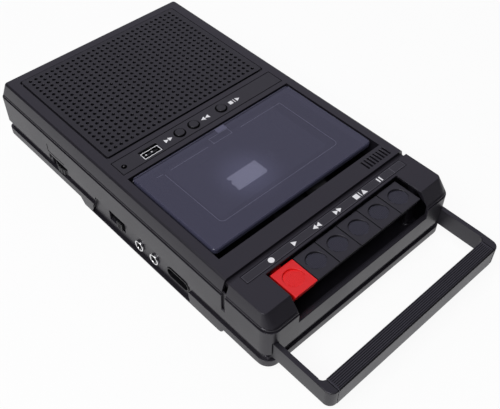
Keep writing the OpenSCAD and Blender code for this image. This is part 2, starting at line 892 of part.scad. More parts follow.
module usb_socket() {
    z1 = top_z - usb_sink;
    color([0.8, 0.8, 0.82]) difference() {
        block(span(usb[0], usb_w / 2), span(usb[1], usb_l / 2), [control_board_z, z1]);
        block(span(usb[0], usb_w / 2 - usb_wall), span(usb[1], usb_l / 2 - usb_wall),
            [control_board_z + usb_floor, z1 + cut]);
    }
}

module usb_tongue() {
    color([0.9, 0.9, 0.9]) block(span(usb[0], tongue_w / 2),
        [usb[1] + usb_sink, usb[1] + usb_l / 2 - usb_wall],
        [control_board_z + usb_floor, top_z - tongue_sink]);
}

module power_led() {
    color([0.7, 0.1, 0.1]) {
        rod_z(led_r, [control_board_z, top_z], led);
        translate([led[0], led[1], top_z]) intersection() {
            sphere(led_r);
            block(span(0, led_r), span(0, led_r), [-fuse, led_r]);
        }
    }
}

module push_button(x) {
    color([0.12, 0.12, 0.13]) {
        rod_z(button_d / 2, [button_low, top_z + button_proud], [x, button_y]);
        rod_z(button_d / 2 + button_flange, [pocket_z - button_flange, pocket_z - fuse], [x, button_y]);
    }
}

module next_button() { push_button(button_x[0]); }

module previous_button() { push_button(button_x[1]); }

module play_stop_button() { push_button(button_x[2]); }

// Cassette door

module door_window() {
    y = (window_y0 + window_y1) / 2;
    color([0.27, 0.27, 0.34, 0.8]) difference() {
        rounded_slab(2 * window_x, window_y1 - window_y0, window_r, [window_z0, window_z1], y);
        both_sides()
            rod_x(hinge_r + pivot_gap, [window_x - hinge_in - fit_gap, window_x + cut], hinge_y, hinge_z);
    }
}

module door_hinge_pins() {
    color([0.7, 0.7, 0.72]) both_sides()
        rod_x(hinge_r, [window_x - hinge_in, well_w / 2 + hinge_out - fuse], hinge_y, hinge_z);
}

module cassette_carrier() {
    x1 = tape_w / 2 + tape_gap;
    rail_y = [tape_y0 + rail_setback, frame_y1 + wall];
    color([0.12, 0.12, 0.13]) difference() {
        union() {
            block(span(0, window_x - window_r), [window_y0 + window_r, window_y1 - carrier_back],
                [carrier_z, window_z0]);
            both_sides() {
                block([x1, x1 + wall], rail_y, [carrier_low, carrier_z + fuse]);
                block([x1 - rail_in, x1 + fuse], rail_y, run(carrier_low, lip_t));
            }
            block(span(0, x1 + wall), [frame_y1, frame_y1 + wall], [carrier_low, carrier_z + fuse]);
        }
        block(span(0, x1 - frame_in), [tape_y0 + frame_front, frame_y1 - cut],
            [carrier_z - cut, window_z0 + cut]);
    }
}

module label_strip() {
    color([0.24, 0.24, 0.26]) block(span(0, label_w / 2), [label_y0, label_y1],
        [top_z - deck_drop - label_t, top_z - deck_drop]);
}

// Piano keys

module piano_key(i, shade) {
    x = key_x(i);
    low_z = key_z - key_face_h;
    roof_z = key_z - key_top_t;
    foot_y0 = key_y0 + key_lean;
    lever_y0 = key_y1 - 3 * key_skin;
    dish_tilt = atan(dish_fall / (dish_d / 2));
    color(shade) difference() {
        union() {
            difference() {
                along_x(span(x, key_w / 2)) polygon([
                    [key_y1, key_z], [key_y0, key_z], [foot_y0, low_z], [foot_y0 + key_skin, low_z],
                    [key_y1, key_z - key_back_h]
                ]);
                along_x(span(x, key_w / 2 - key_skin)) polygon([
                    [key_y1 - 2 * key_skin, roof_z], [foot_y0 + key_skin / 2, roof_z],
                    [foot_y0 + key_skin, low_z - cut], [key_y1 - 2 * key_skin, low_z - cut]
                ]);
            }
            along_x(span(x, lever_w / 2)) polygon([
                [key_y1 - key_skin, key_z - cut], [lever_y0, roof_z + fuse], [lever_y0, roof_z - key_top_t],
                [shaft_y, shaft_z - hub_r], [shaft_y, shaft_z + hub_r], [key_y1, key_z - 1.5 * key_top_t],
                [key_y1, key_z - cut]
            ]);
            rod_x(hub_r, span(x, lever_w / 2), shaft_y, shaft_z);
        }
        rod_x(shaft_r + pivot_gap, span(x, key_w), shaft_y, shaft_z);
        translate([x, (key_y0 + key_y1) / 2, key_z - dish_fall]) rotate([-dish_tilt, 0, 0])
            cylinder(d = dish_d, h = key_drop);
    }
}

module record_key() { piano_key(0, key_red); }

module play_key() { piano_key(1, case_shade); }

module rewind_key() { piano_key(2, case_shade); }

module fast_forward_key() { piano_key(3, case_shade); }

module stop_eject_key() { piano_key(4, case_shade); }

module pause_key() { piano_key(5, case_shade); }

module key_shaft() {
    color([0.7, 0.7, 0.72]) rod_x(shaft_r, span(0, plate_x), shaft_y, shaft_z);
}

module key_return_springs() {
    color([0.65, 0.65, 0.68]) for (i = [0 : key_count - 1]) difference() {
        x = key_x(i) + (lever_w + spring_l) / 2 + fit_gap;
        rod_x(shaft_r + spring_t, span(x, spring_l / 2), shaft_y, shaft_z);
        rod_x(shaft_r + fit_gap, span(x, spring_l), shaft_y, shaft_z);
    }
}

// Carrying handle

module handle_outline() {
    depth = arm_end_y - handle_y0;
    difference() {
        translate([0, handle_y0 + depth]) difference() {
            rounded_rect(2 * arm_x1, 2 * depth, handle_r);
            translate([-case_w, 0]) square([2 * case_w, 2 * depth]);
        }
        translate([0, bar_y1 + depth]) rounded_rect(2 * arm_x0, 2 * depth, handle_fillet);
    }
}

// Bar inside the grip
module bar_core() {
    block(span(0, case_w), [handle_y0 + grip_skin, bar_y1 - grip_skin],
        [handle_z0 + grip_skin, handle_z1 - grip_skin]);
}

module handle_frame() {
    color(case_shade) {
        difference() {
            translate([0, 0, handle_z0]) linear_extrude(handle_h) handle_outline();
            // seat of the grip, all round the bar
            difference() {
                block(span(0, grip_x), [handle_y0 - cut, bar_y1 + cut], [handle_z0 - cut, handle_z1 + cut]);
                bar_core();
            }
        }
        // stops that catch behind the front wall
        both_sides() block([arm_x0, arm_x1], run(-inner_y + slide_gap, stop_l),
            [handle_z1 - fuse, handle_z1 + stop_h]);
    }
}

module handle_grip() {
    rib_pitch = (bar_t - 2 * rib_groove) / grip_ribs;
    x = span(0, grip_x - fuse);
    color([0.16, 0.16, 0.17]) difference() {
        block(x, [handle_y0, bar_y1], [handle_z0, handle_z1]);
        bar_core();
        for (i = [1 : grip_ribs])
            block(x + grip_skin * [1, -1], run(handle_y0 + i * rib_pitch, rib_groove),
                [handle_z1 - rib_groove, handle_z1 + cut]);
    }
}

// Transport mechanism

module mechanism_plate() {
    lug_y = span(shaft_y, ear_l);
    color([0.6, 0.6, 0.63]) difference() {
        union() {
            block(span(0, plate_x), [plate_y0, plate_y1], [plate_low, plate_z]);
            both_sides() along_x([plate_x - ear_t, plate_x]) polygon([
                [lug_y[0], shaft_z - ear_drop], [lug_y[0], shaft_z + ear_rise],
                [lug_y[1], shaft_z + ear_rise], [plate_y0 + ear_foot, plate_z],
                [plate_y0 + ear_foot, plate_low], [plate_y0, plate_low]
            ]);
            for (x = span(0, reel_span / 2))
                rod_z(stud_r, [plate_z - fuse, spindle_z1 - 2 * spindle_tip_h], [x, reel_y]);
        }
        rod_x(shaft_r + pivot_gap / 2, span(0, half_w), shaft_y, shaft_z);
        rod_z(bearing_r + pivot_gap / 2, [plate_low - cut, plate_z + cut], capstan);
        for (p = mech_posts) rod_z(mech_screw_r + fit_gap / 3, [plate_low - cut, plate_z + cut], p);
    }
}

module plate_screws() {
    color([0.7, 0.7, 0.72]) for (p = mech_posts) translate([p[0], p[1], plate_z]) mirror([0, 0, 1])
        cross_screw(mech_screw_r, plate_screw_head_r, plate_screw_head_h, plate_screw_l);
}

module tape_reflector() {
    color([0.75, 0.75, 0.8]) block(span(0, reel_span / 2 - spindle_table_r - reflector_gap),
        span(reel_y + reflector_back, reflector_l / 2), run(plate_z, reflector_h));
}

module spindle(s) {
    z0 = plate_z + running_gap;
    tip_z = spindle_z1 - spindle_tip_h;
    color([0.85, 0.85, 0.83]) translate([s * reel_span / 2, reel_y, 0]) difference() {
        union() {
            rod_z(spindle_table_r, run(z0, spindle_table_t), [0, 0]);
            rod_z(spindle_r, [z0, tip_z], [0, 0]);
            translate([0, 0, tip_z]) cylinder(r1 = spindle_r, r2 = spindle_r / 2, h = spindle_tip_h);
            for (a = [0, 120, 240])
                rotate(a) block([0, spindle_fin_r], span(0, spindle_fin_t / 2),
                    [z0 + 2 * spindle_table_t, tip_z - spindle_tip_h]);
        }
        rod_z(stud_r + pivot_gap, [z0 - cut, tip_z - spindle_tip_h + fit_gap], [0, 0]);
    }
}

module supply_spindle() { spindle(-1); }

module takeup_spindle() { spindle(1); }

module flywheel() {
    color([0.55, 0.55, 0.58]) translate([capstan[0], capstan[1], 0]) difference() {
        union() {
            rod_z(flywheel_d / 2, [flywheel_z, flywheel_z + flywheel_t], [0, 0]);
            rod_z(wheel_hub_r, [flywheel_z, hub_z], [0, 0]);
        }
        rod_z(capstan_r, [flywheel_z - cut, hub_z + cut], [0, 0]);
        translate([0, 0, flywheel_z + flywheel_t - wheel_groove_d]) rotate_extrude()
            translate([flywheel_d / 2 - 2 * wheel_groove_w, 0])
                square([wheel_groove_w, wheel_groove_d + cut]);
    }
}

module capstan_shaft() {
    color([0.8, 0.8, 0.82]) rod_z(capstan_r, [capstan_z0, capstan_z1], capstan);
}

module capstan_bearing() {
    color([0.7, 0.5, 0.25]) translate([capstan[0], capstan[1], 0]) difference() {
        union() {
            rod_z(bearing_r, [hub_z + 1, plate_z + bearing_proud], [0, 0]);
            rod_z(bearing_flange_r, [plate_low - bearing_flange_t, plate_low], [0, 0]);
        }
        rod_z(capstan_r + pivot_gap, [0, top_z], [0, 0]);
    }
}

module drive_motor() {
    z0 = plate_low - motor_h;
    color([0.7, 0.7, 0.72]) translate([motor[0], motor[1], 0]) difference() {
        union() {
            rod_z(motor_d / 2, [z0, plate_low], [0, 0]);
            rod_z(motor_boss_r, [z0 - motor_boss_h, z0 + fuse], [0, 0]);
        }
        rod_z(motor_shaft_r + pivot_gap, [z0 - cut, z0 + motor_shaft_l + cut], [0, 0]);
    }
}

module motor_pulley() {
    z0 = plate_low - motor_h;
    color([0.75, 0.6, 0.3]) translate([motor[0], motor[1], 0]) {
        rod_z(motor_shaft_r, [belt_z - pulley_rim, z0 + motor_shaft_l], [0, 0]);
        rod_z(pulley_r, [belt_z - pulley_rim, belt_z + belt_w + pulley_rim], [0, 0]);
        for (z = [belt_z - pulley_rim - belt_gap, belt_z + belt_w + belt_gap])
            rod_z(pulley_r + pulley_rim, run(z, pulley_rim), [0, 0]);
    }
}

module belt_loop(gap) {
    hull() {
        translate(motor) circle(pulley_r + gap, $fn = 48);
        translate(capstan) circle(flywheel_d / 2 + gap, $fn = 96);
    }
}

module drive_belt() {
    color([0.1, 0.1, 0.1]) translate([0, 0, belt_z]) linear_extrude(belt_w) difference() {
        belt_loop(fit_gap + belt_t);
        belt_loop(fit_gap);
    }
}

module head_bridge() {
    color([0.65, 0.65, 0.68]) block(span(0, bridge_x), [bridge_y0, bridge_y1], [bridge_z, bridge_top]);
}

module tape_head(x, w, l, h) {
    y1 = tape_y0 - head_gap;
    nose_r = 0.6 * w;
    block(span(x, w / 2), [y1 - l, y1 - nose_l], run(bridge_top, h));
    intersection() {
        rod_z(nose_r, run(bridge_top, h), [x, y1 - nose_r]);
        block(span(x, w / 2), [y1 - nose_l - fuse, y1 + cut], [0, top_z]);
    }
}

module record_play_head() {
    color([0.75, 0.75, 0.78]) tape_head(0, head_w, head_l, head_h);
}

module erase_head() {
    color([0.3, 0.3, 0.33]) tape_head(-erase_x, head_w / 2, head_l, head_h);
}

module pinch_arm() {
    color([0.6, 0.6, 0.63]) {
        block(span(roller[0], arm_w / 2), [roller[1] - 0.75 * arm_l, roller[1] + 0.25 * arm_l],
            run(bridge_top, arm_plate_t));
        rod_z(stud_r, run(bridge_top, roller_h + 2), roller);
    }
}

module pinch_roller() {
    color([0.12, 0.12, 0.12]) difference() {
        rod_z(pinch_d / 2, run(bridge_top + arm_plate_t + running_gap, roller_h), roller);
        rod_z(stud_r + pivot_gap, [0, top_z], roller);
    }
}

// Electrics

module main_board() {
    color([0.1, 0.35, 0.2]) block(main_board_x, main_board_y, [main_board_z, main_board_z + board_t]);
}

module power_transformer() {
    at = transformer_at;
    color([0.45, 0.42, 0.4]) {
        block(span(at[0], core_w / 2), span(at[1], core_l / 2), run(floor_t, core_h));
        block(span(at[0], coil_w / 2), span(at[1], coil_l / 2), span(floor_t + core_h / 2, coil_h / 2));
    }
}

module ac_inlet() {
    x1 = -inner_x + inlet_l;
    color([0.1, 0.1, 0.11]) {
        difference() {
            union() {
                along_x([recess_x - inlet_proud, x1]) inlet_profile(inlet_r);
                along_x([-inner_x, x1]) translate([inlet_y, inlet_z])
                    square([inlet_span + 2 * inlet_r + 2, 2 * inlet_r + 2 * inlet_wall], center = true);
            }
            along_x([recess_x - cut, x1 - inlet_floor]) inlet_profile(inlet_r - inlet_wall);
        }
        for (s = [-1, 1]) rod_x(pin_r, [recess_x + 2, x1 - 2], inlet_y + s * pin_span / 2, inlet_z);
    }
}

module jack(y) {
    color([0.12, 0.12, 0.13]) difference() {
        union() {
            block(run(-inner_x, jack_body[0]), span(y, jack_body[1] / 2), span(jack_z, jack_body[2] / 2));
            rod_x(jack_r, [recess_x - jack_nut_t + fit_gap, -inner_x + fuse], y, jack_z);
        }
        rod_x(jack_bore_d / 2, [-half_w, -inner_x + jack_body[0] - jack_back], y, jack_z);
    }
}

module mic_jack() { jack(mic_y); }

module ear_jack() { jack(ear_y); }

module jack_nuts() {
    color([0.85, 0.85, 0.85]) for (y = [ear_y, mic_y]) difference() {
        rod_x(jack_nut_r, [recess_x - jack_nut_t, recess_x], y, jack_z);
        rod_x(jack_r + pivot_gap, [-half_w, half_w], y, jack_z);
    }
}

module selector_switch() {
    z = selector_z0 + selector_h / 2;
    color([0.3, 0.3, 0.32]) difference() {
        block(run(-inner_x, switch_d), [selector_y0 - switch_end, selector_y0 + selector_l + switch_end],
            span(z, switch_h / 2));
        block([-inner_x - cut, -inner_x + knob_in + fit_gap], run(selector_y0, selector_l),
            span(z, knob_h / 2 + fit_gap));
    }
}

module selector_knob() {
    z = selector_z0 + selector_h / 2;
    y0 = selector_y0 + knob_end_gap;
    x0 = recess_x - knob_proud;
    color([0.12, 0.12, 0.13]) difference() {
        block([x0, -inner_x + knob_in], run(y0, knob_w), span(z, knob_h / 2));
        for (i = [1 : knob_grooves])
            block([x0 - cut, x0 + knob_groove], span(y0 + i * knob_w / (knob_grooves + 1), knob_groove / 2),
                span(z, knob_h));
    }
}

module volume_pot() {
    base_z = main_board_z + board_t;
    color([0.35, 0.35, 0.37]) {
        rod_z(pot_r, [base_z, volume_z0 - fit_gap], [volume_x, volume_y]);
        rod_z(volume_shaft_r, [base_z, volume_z0 + volume_t + cut], [volume_x, volume_y]);
    }
}

module volume_wheel() {
    color([0.14, 0.14, 0.15]) translate([volume_x, volume_y, volume_z0]) difference() {
        cylinder(d = volume_d, h = volume_t);
        translate([0, 0, -cut]) cylinder(r = volume_shaft_r + pivot_gap, h = volume_t + 2 * cut);
        for (i = [1 : thumb_notches])
            rotate(i * 360 / thumb_notches) translate([volume_d / 2 + thumb_notch_out, 0, -cut])
                cylinder(r = thumb_notch_r, h = volume_t + 2 * cut, $fn = 16);
    }
}

module battery_contacts() {
    color([0.8, 0.8, 0.8]) for (i = [0 : cell_count - 1]) {
        y = cell_y0 + cell_side_gap + cell_d * (i + 0.5);
        flip = i % 2;
        spring_x = flip ? cell_x1 - contact_t : cell_x0 + contact_t;
        nub_x = flip ? cell_x0 + contact_t : cell_x1 - contact_t;
        side = flip ? -1 : 1;
        for (x = [cell_x0, cell_x1 - contact_t])
            block(run(x, contact_t), span(y, contact_w / 2), span(cell_z, contact_w / 2));
        translate([spring_x - side * fuse, y, cell_z]) rotate([0, side * 90, 0])
            cylinder(r1 = contact_spring_r, r2 = contact_spring_r / 2, h = contact_spring_r);
        translate([nub_x + side * fuse, y, cell_z]) rotate([0, -side * 90, 0])
            cylinder(r = contact_spring_r / 2, h = 2 * contact_t);
    }
}

module microphone() {
    color([0.7, 0.7, 0.7]) rod_z(mic_r, [under_z - mic_h, under_z], [mic_x, mic_capsule_y]);
}

lower_case();
top_cover();
battery_door();
rubber_feet();
case_screws();
speaker_grille();
speaker_frame();
speaker_cone();
speaker_magnet();
control_strip();
control_board();
tact_switches();
usb_socket();
usb_tongue();
power_led();
next_button();
previous_button();
play_stop_button();
door_window();
cassette_carrier();
door_hinge_pins();
label_strip();
record_key();
play_key();
rewind_key();
fast_forward_key();
stop_eject_key();
pause_key();
key_shaft();
key_return_springs();
handle_frame();
handle_grip();
mechanism_plate();
plate_screws();
tape_reflector();
supply_spindle();
takeup_spindle();
flywheel();
capstan_shaft();
capstan_bearing();
drive_motor();
motor_pulley();
drive_belt();
head_bridge();
record_play_head();
erase_head();
pinch_arm();
pinch_roller();
main_board();
power_transformer();
ac_inlet();
mic_jack();
ear_jack();
jack_nuts();
selector_switch();
selector_knob();
volume_pot();
volume_wheel();
battery_contacts();
microphone();
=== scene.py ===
import json
import math

import bmesh
import bpy
from mathutils import Matrix, Vector
from mathutils.geometry import area_tri


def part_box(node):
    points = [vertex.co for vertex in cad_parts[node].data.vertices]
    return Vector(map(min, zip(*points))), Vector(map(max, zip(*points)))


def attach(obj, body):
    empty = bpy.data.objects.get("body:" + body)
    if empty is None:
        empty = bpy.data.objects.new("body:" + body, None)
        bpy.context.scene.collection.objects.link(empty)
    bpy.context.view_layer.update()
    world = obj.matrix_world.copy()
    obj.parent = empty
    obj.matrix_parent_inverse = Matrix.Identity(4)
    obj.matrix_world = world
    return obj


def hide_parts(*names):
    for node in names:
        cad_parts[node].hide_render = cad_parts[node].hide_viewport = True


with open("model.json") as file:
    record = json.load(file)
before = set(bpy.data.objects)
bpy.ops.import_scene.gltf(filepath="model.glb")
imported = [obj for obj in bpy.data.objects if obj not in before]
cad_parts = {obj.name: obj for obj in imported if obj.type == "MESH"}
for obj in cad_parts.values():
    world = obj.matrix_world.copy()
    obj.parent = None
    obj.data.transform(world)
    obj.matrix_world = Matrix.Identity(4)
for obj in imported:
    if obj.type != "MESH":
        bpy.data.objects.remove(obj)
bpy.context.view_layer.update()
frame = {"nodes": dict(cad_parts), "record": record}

# Lower case: the tray that carries everything, with its lip, dark groove, plinth and left recess.
# One injection moulding in black plastic. The tool is spark eroded, so the skin has a fine matt
# grain, and the outer edges are moulded round.
mm = 0.001
body_of = {
    node: body for body, nodes in frame["record"]["behaviour"]["bodies"].items() for node in nodes
}


def tone(red, green, blue):
    """A colour in picture values, 0 to 255, as the light values that a shader takes."""
    shares = [value / 255 for value in (red, green, blue)]
    return [s / 12.92 if s <= 0.04045 else ((s + 0.055) / 1.055) ** 2.4 for s in shares]


def maths(tree, operation, *values):
    """One sum in a node tree, from numbers and sockets."""
    step = tree.nodes.new("ShaderNodeMath")
    step.operation = operation
    for value, into in zip(values, step.inputs):
        if isinstance(value, (int, float)):
            into.default_value = value
        else:
            tree.links.new(value, into)
    return step.outputs[0]


def empty_tree(kind, name, inputs, outputs):
    """A node tree with named inputs and outputs, and its two end nodes."""
    tree = bpy.data.node_groups.new(name, kind + "NodeTree")
    for way, sockets in (("INPUT", inputs), ("OUTPUT", outputs)):
        for label, sort in sockets.items():
            tree.interface.new_socket(label, in_out=way, socket_type="NodeSocket" + sort)
    return tree, tree.nodes.new("NodeGroupInput"), tree.nodes.new("NodeGroupOutput")


def moulded_skin_group():
    """Colour, roughness and height of a moulded skin: fine grain, and slow clouds in the colour."""
    cloud_scale = 30
    rough_drift = 0.15
    group, given, result = empty_tree(
        "Shader", "moulded_skin",
        {"Base": "Color", "Clouds": "Float", "Roughness": "Float", "Grain": "Float"},
        {"Colour": "Color", "Roughness": "Float", "Height": "Float"},
    )
    nodes, link = group.nodes, group.links.new
    place = nodes.new("ShaderNodeTexCoord")
    grain, cloud = nodes.new("ShaderNodeTexNoise"), nodes.new("ShaderNodeTexNoise")
    grain.inputs["Detail"].default_value = 2
    cloud.inputs["Scale"].default_value = cloud_scale
    cloud.inputs["Detail"].default_value = 3
    for noise in (grain, cloud):
        link(place.outputs["Object"], noise.inputs["Vector"])
    link(given.outputs["Grain"], grain.inputs["Scale"])
    drift = maths(group, "SUBTRACT", cloud.outputs["Fac"], 0.5)
    shade = nodes.new("ShaderNodeHueSaturation")
    link(given.outputs["Base"], shade.inputs["Color"])
    link(maths(group, "MULTIPLY_ADD", drift, given.outputs["Clouds"], 1), shade.inputs["Value"])
    rough = maths(group, "MULTIPLY_ADD", drift, rough_drift, given.outputs["Roughness"])
    link(shade.outputs["Color"], result.inputs["Colour"])
    link(rough, result.inputs["Roughness"])
    link(grain.outputs["Fac"], result.inputs["Height"])
    return group


moulded_skin = moulded_skin_group()
sheen_tint = (0.93, 0.91, 1, 1)


def moulding(name, colour, roughness, grain=1800, depth=0.02 * mm, clouds=0.25, gloss=0.5, alpha=1):
    """A moulded plastic or rubber in one colour, with its grain and a little drift in colour."""
    material = bpy.data.materials.new(name)
    material.use_nodes = True
    nodes, link = material.node_tree.nodes, material.node_tree.links.new
    surface = nodes["Principled BSDF"]
    surface.inputs["Specular IOR Level"].default_value = gloss
    surface.inputs["Specular Tint"].default_value = sheen_tint
    surface.inputs["Alpha"].default_value = alpha
    skin = nodes.new("ShaderNodeGroup")
    skin.node_tree = moulded_skin
    skin.inputs["Base"].default_value = (*colour, 1)
    skin.inputs["Clouds"].default_value = clouds
    skin.inputs["Roughness"].default_value = roughness
    skin.inputs["Grain"].default_value = grain
    bump = nodes.new("ShaderNodeBump")
    bump.inputs["Distance"].default_value = depth
    link(skin.outputs["Colour"], surface.inputs["Base Color"])
    link(skin.outputs["Roughness"], surface.inputs["Roughness"])
    link(skin.outputs["Height"], bump.inputs["Height"])
    link(bump.outputs["Normal"], surface.inputs["Normal"])
    return material


def folded_faces(solid):
    """Faces whose triangles cover more than the face itself."""
    surplus = 1.001
    cover = {}
    for loops in solid.calc_loop_triangles():
        corners = (loop.vert.co for loop in loops)
        cover[loops[0].face] = cover.get(loops[0].face, 0) + area_tri(*corners)
    return [face for face, area in cover.items() if area > surplus * face.calc_area()]


weld = 0.001 * mm


def merged(node):
    """A node's solid as a clean mesh, with doubles merged and flat faces made whole."""
    level_bend = math.radians(0.5)
    solid = bmesh.new()
    solid.from_mesh(frame["nodes"][node].data)
    bmesh.ops.remove_doubles(solid, verts=solid.verts, dist=weld)
    bmesh.ops.dissolve_limit(solid, angle_limit=level_bend, verts=solid.verts, edges=solid.edges)
    for face in folded_faces(solid):
        rim, facing = list(face.edges), face.normal.copy()
        bmesh.ops.delete(solid, geom=[face], context="FACES_ONLY")
        bmesh.ops.triangle_fill(solid, edges=rim, use_beauty=True, normal=facing)
    return solid


touch = 0.01 * mm


def soften(solid, radius, where=lambda point: True, segments=2):
    """Rounds the outer edges in a region, where the faces beside them have room for the round."""
    least_bend = math.radians(28)
    flat_bend = math.radians(1)
    room, shared_room = 1.1 * radius, 2.1 * radius
    edges = {
        e
        for e in solid.edges
        if e.is_manifold
        and e.is_convex
        and e.calc_face_angle() > least_bend
        and where((e.verts[0].co + e.verts[1].co) / 2)
    }

    def has_room(edge):
        start = edge.verts[0].co
        length = edge.calc_length()
        along = (edge.verts[1].co - start) / length
        faces = set(edge.link_faces)
        for face in edge.link_faces:
            flat = (e for e in face.edges if e.is_manifold and e.calc_face_angle() < flat_bend)
            faces.update(other for e in flat for other in e.link_faces)
        for corner in {v for face in faces for v in face.verts}:
            step = corner.co - start
            reach = step.dot(along)
            gap = (step - along * reach).length
            need = shared_room if any(e in edges for e in corner.link_edges) else room
            if touch < gap < need and -touch < reach < length + touch:
                return False
        return True

    bmesh.ops.bevel(
        solid, geom=[e for e in edges if has_room(e)], offset=radius, offset_type="OFFSET",
        segments=segments, profile=0.5, affect="EDGES", clamp_overlap=False, material=-1,
    )


def place_piece(solid, name, body, material, slot, *nodes, sharp=38):
    """Makes a mesh a piece of the object: shaded, riding on its body and standing for its nodes."""
    mesh = bpy.data.meshes.new(name)
    solid.to_mesh(mesh)
    solid.free()
    mesh.materials.append(material)
    mesh.polygons.foreach_set("use_smooth", [True] * len(mesh.polygons))
    mesh.set_sharp_from_angle(angle=math.radians(sharp))
    piece = bpy.data.objects.new(name, mesh)
    bpy.context.scene.collection.objects.link(piece)
    piece.modifiers.new("even_shading", "WEIGHTED_NORMAL").keep_sharp = True
    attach(piece, body)
    if nodes:
        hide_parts(*nodes)


def dress(node, radius, material, slot, where=lambda point: True):
    """A piece in the shape of its node, with its outer edges rounded."""
    solid = merged(node)
    soften(solid, radius, where)
    place_piece(solid, node + "_skin", body_of[node], material, slot, node)


case_low, case_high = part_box("lower_case")
wheel_low, wheel_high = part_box("volume_wheel")
front_corner, back_corner = 8 * mm, 4 * mm
case_edge = 0.28 * mm
wall_reach = 2.6 * mm
plinth_reach = 6.5 * mm
notch_margin = 1 * mm
case_black = moulding("case_black", tone(29, 27, 33), 0.4)


def past_corner(point):
    """How far a point lies past the centre of its nearest round corner, along X and along Y."""
    corner = back_corner if point.y > 0 else front_corner
    past = Vector((abs(point.x) - case_high.x + corner, abs(point.y) - case_high.y + corner))
    return corner, past


def depth_under_outline(point):
    """How far a point lies inside the case's round-cornered outline, seen from above."""
    corner, past = past_corner(point)
    return corner - (math.hypot(max(past.x, 0), max(past.y, 0)) or max(past))


def on_case_outside(point):
    """True on the case's outer walls and its underside, except low in the volume wheel's notch."""
    in_notch = point.x < 0 and wheel_low.y < point.y < wheel_high.y and (
        wheel_low.z - notch_margin < point.z < wheel_high.z + notch_margin
    )
    outer = depth_under_outline(point) < wall_reach or point.z < case_low.z + plinth_reach
    return outer and not in_notch


dress("lower_case", case_edge, case_black, "case_plastic", on_case_outside)

# Underside: the battery door, four rubber feet and six cross-head screws.
# The door is moulded with grip grooves, the feet are soft black rubber pressed into the plinth,
# and the screws are zinc-plated steel.
door_edge, foot_edge = 0.3 * mm, 0.5 * mm
foot_rubber = moulding(
    "foot_rubber", tone(30, 30, 31), 0.75, grain=900, depth=0.05 * mm, gloss=0.3
)
dress("battery_door", door_edge, case_black, "case_plastic")
dress("rubber_feet", foot_edge, foot_rubber, "rubber")


def plated_skin_group():
    """Roughness and height of plated metal: fine drawn streaks along X and faint handling marks."""
    streak_scale = (60, 2400, 2400)
    mark_scale = 120
    mark_drift = 0.2
    group, given, result = empty_tree(
        "Shader", "plated_skin",
        {"Roughness": "Float", "Streaks": "Float"}, {"Roughness": "Float", "Height": "Float"},
    )
    nodes, link = group.nodes, group.links.new
    place = nodes.new("ShaderNodeTexCoord")
    stretch = nodes.new("ShaderNodeMapping")
    stretch.inputs["Scale"].default_value = streak_scale
    streak, mark = nodes.new("ShaderNodeTexNoise"), nodes.new("ShaderNodeTexNoise")
    streak.inputs["Scale"].default_value = 1
    mark.inputs["Scale"].default_value = mark_scale
    link(place.outputs["Object"], stretch.inputs["Vector"])
    link(stretch.outputs["Vector"], streak.inputs["Vector"])
    link(place.outputs["Object"], mark.inputs["Vector"])
    drift = maths(group, "MULTIPLY_ADD", mark.outputs["Fac"], mark_drift, given.outputs["Roughness"])
    height = maths(group, "MULTIPLY", streak.outputs["Fac"], given.outputs["Streaks"])
    link(drift, result.inputs["Roughness"])
    link(height, result.inputs["Height"])
    return group


plated_skin = plated_skin_group()
streak_depth = 0.004 * mm


def metal(name, colour, roughness, streaks=1):
    """A plated or turned metal with fine streaks."""
    material = bpy.data.materials.new(name)
    material.use_nodes = True
    nodes, link = material.node_tree.nodes, material.node_tree.links.new
    surface = nodes["Principled BSDF"]
    surface.inputs["Base Color"].default_value = (*colour, 1)
    surface.inputs["Metallic"].default_value = 1
    skin = nodes.new("ShaderNodeGroup")
    skin.node_tree = plated_skin
    skin.inputs["Roughness"].default_value = roughness
    skin.inputs["Streaks"].default_value = streaks
    bump = nodes.new("ShaderNodeBump")
    bump.inputs["Distance"].default_value = streak_depth
    link(skin.outputs["Roughness"], surface.inputs["Roughness"])
    link(skin.outputs["Height"], bump.inputs["Height"])
    link(bump.outputs["Normal"], surface.inputs["Normal"])
    return material


def finish_nodes(material, *names):
    """Gives CAD nodes whose shape is right a finished material."""
    for name in names:
        slots = frame["nodes"][name].data.materials
        slots.clear()
        slots.append(material)


zinc_steel = metal("zinc_steel", tone(178, 178, 182), 0.25)
finish_nodes(zinc_steel, "case_screws", "plate_screws")

# Top cover: the moulded lid of the case with the key deck, the cassette well and the panel pockets.
# It is the same black plastic as the tray, screwed on from below, with crisp moulded edges.
cover_low, cover_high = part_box("top_cover")
well_low, well_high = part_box("door_window")
rim_width = 0.95 * mm
rim_reach, rim_slack = 9.5 * mm, 0.05 * mm
cover_edge = 0.27 * mm
cover_sharp = 30
seam_reach = 0.9 * mm
top_reach = 1.6 * mm
bay_length, bay_half = 34 * mm, 60 * mm
cheek_half = 71 * mm
well_margin, well_front_margin = 2 * mm, 6 * mm
crease_heights = [h * mm for h in (0.75, 1.05, 1.55)]
crease_depth = 0.6 * mm
crease_reach = 1.3 * mm
side_reach = 6 * mm
side_slope = 0.7


def on_cover_rim(point):
    """True on the long edge between the cover's top and its sloping sides."""
    return point.z > cover_high.z - rim_slack and depth_under_outline(point) < rim_reach


def on_cover_outside(point):
    """True on the cover's top, its outer sides and the key bay, but not on the rim of the well."""
    in_well = abs(point.x) < well_high.x + well_margin and (
        well_low.y - well_front_margin < point.y < well_high.y + well_margin
    )
    in_key_bay = point.y < cover_low.y + bay_length and abs(point.x) < bay_half
    outer = point.z > cover_high.z - top_reach or depth_under_outline(point) < seam_reach
    return in_key_bay or outer and not in_well


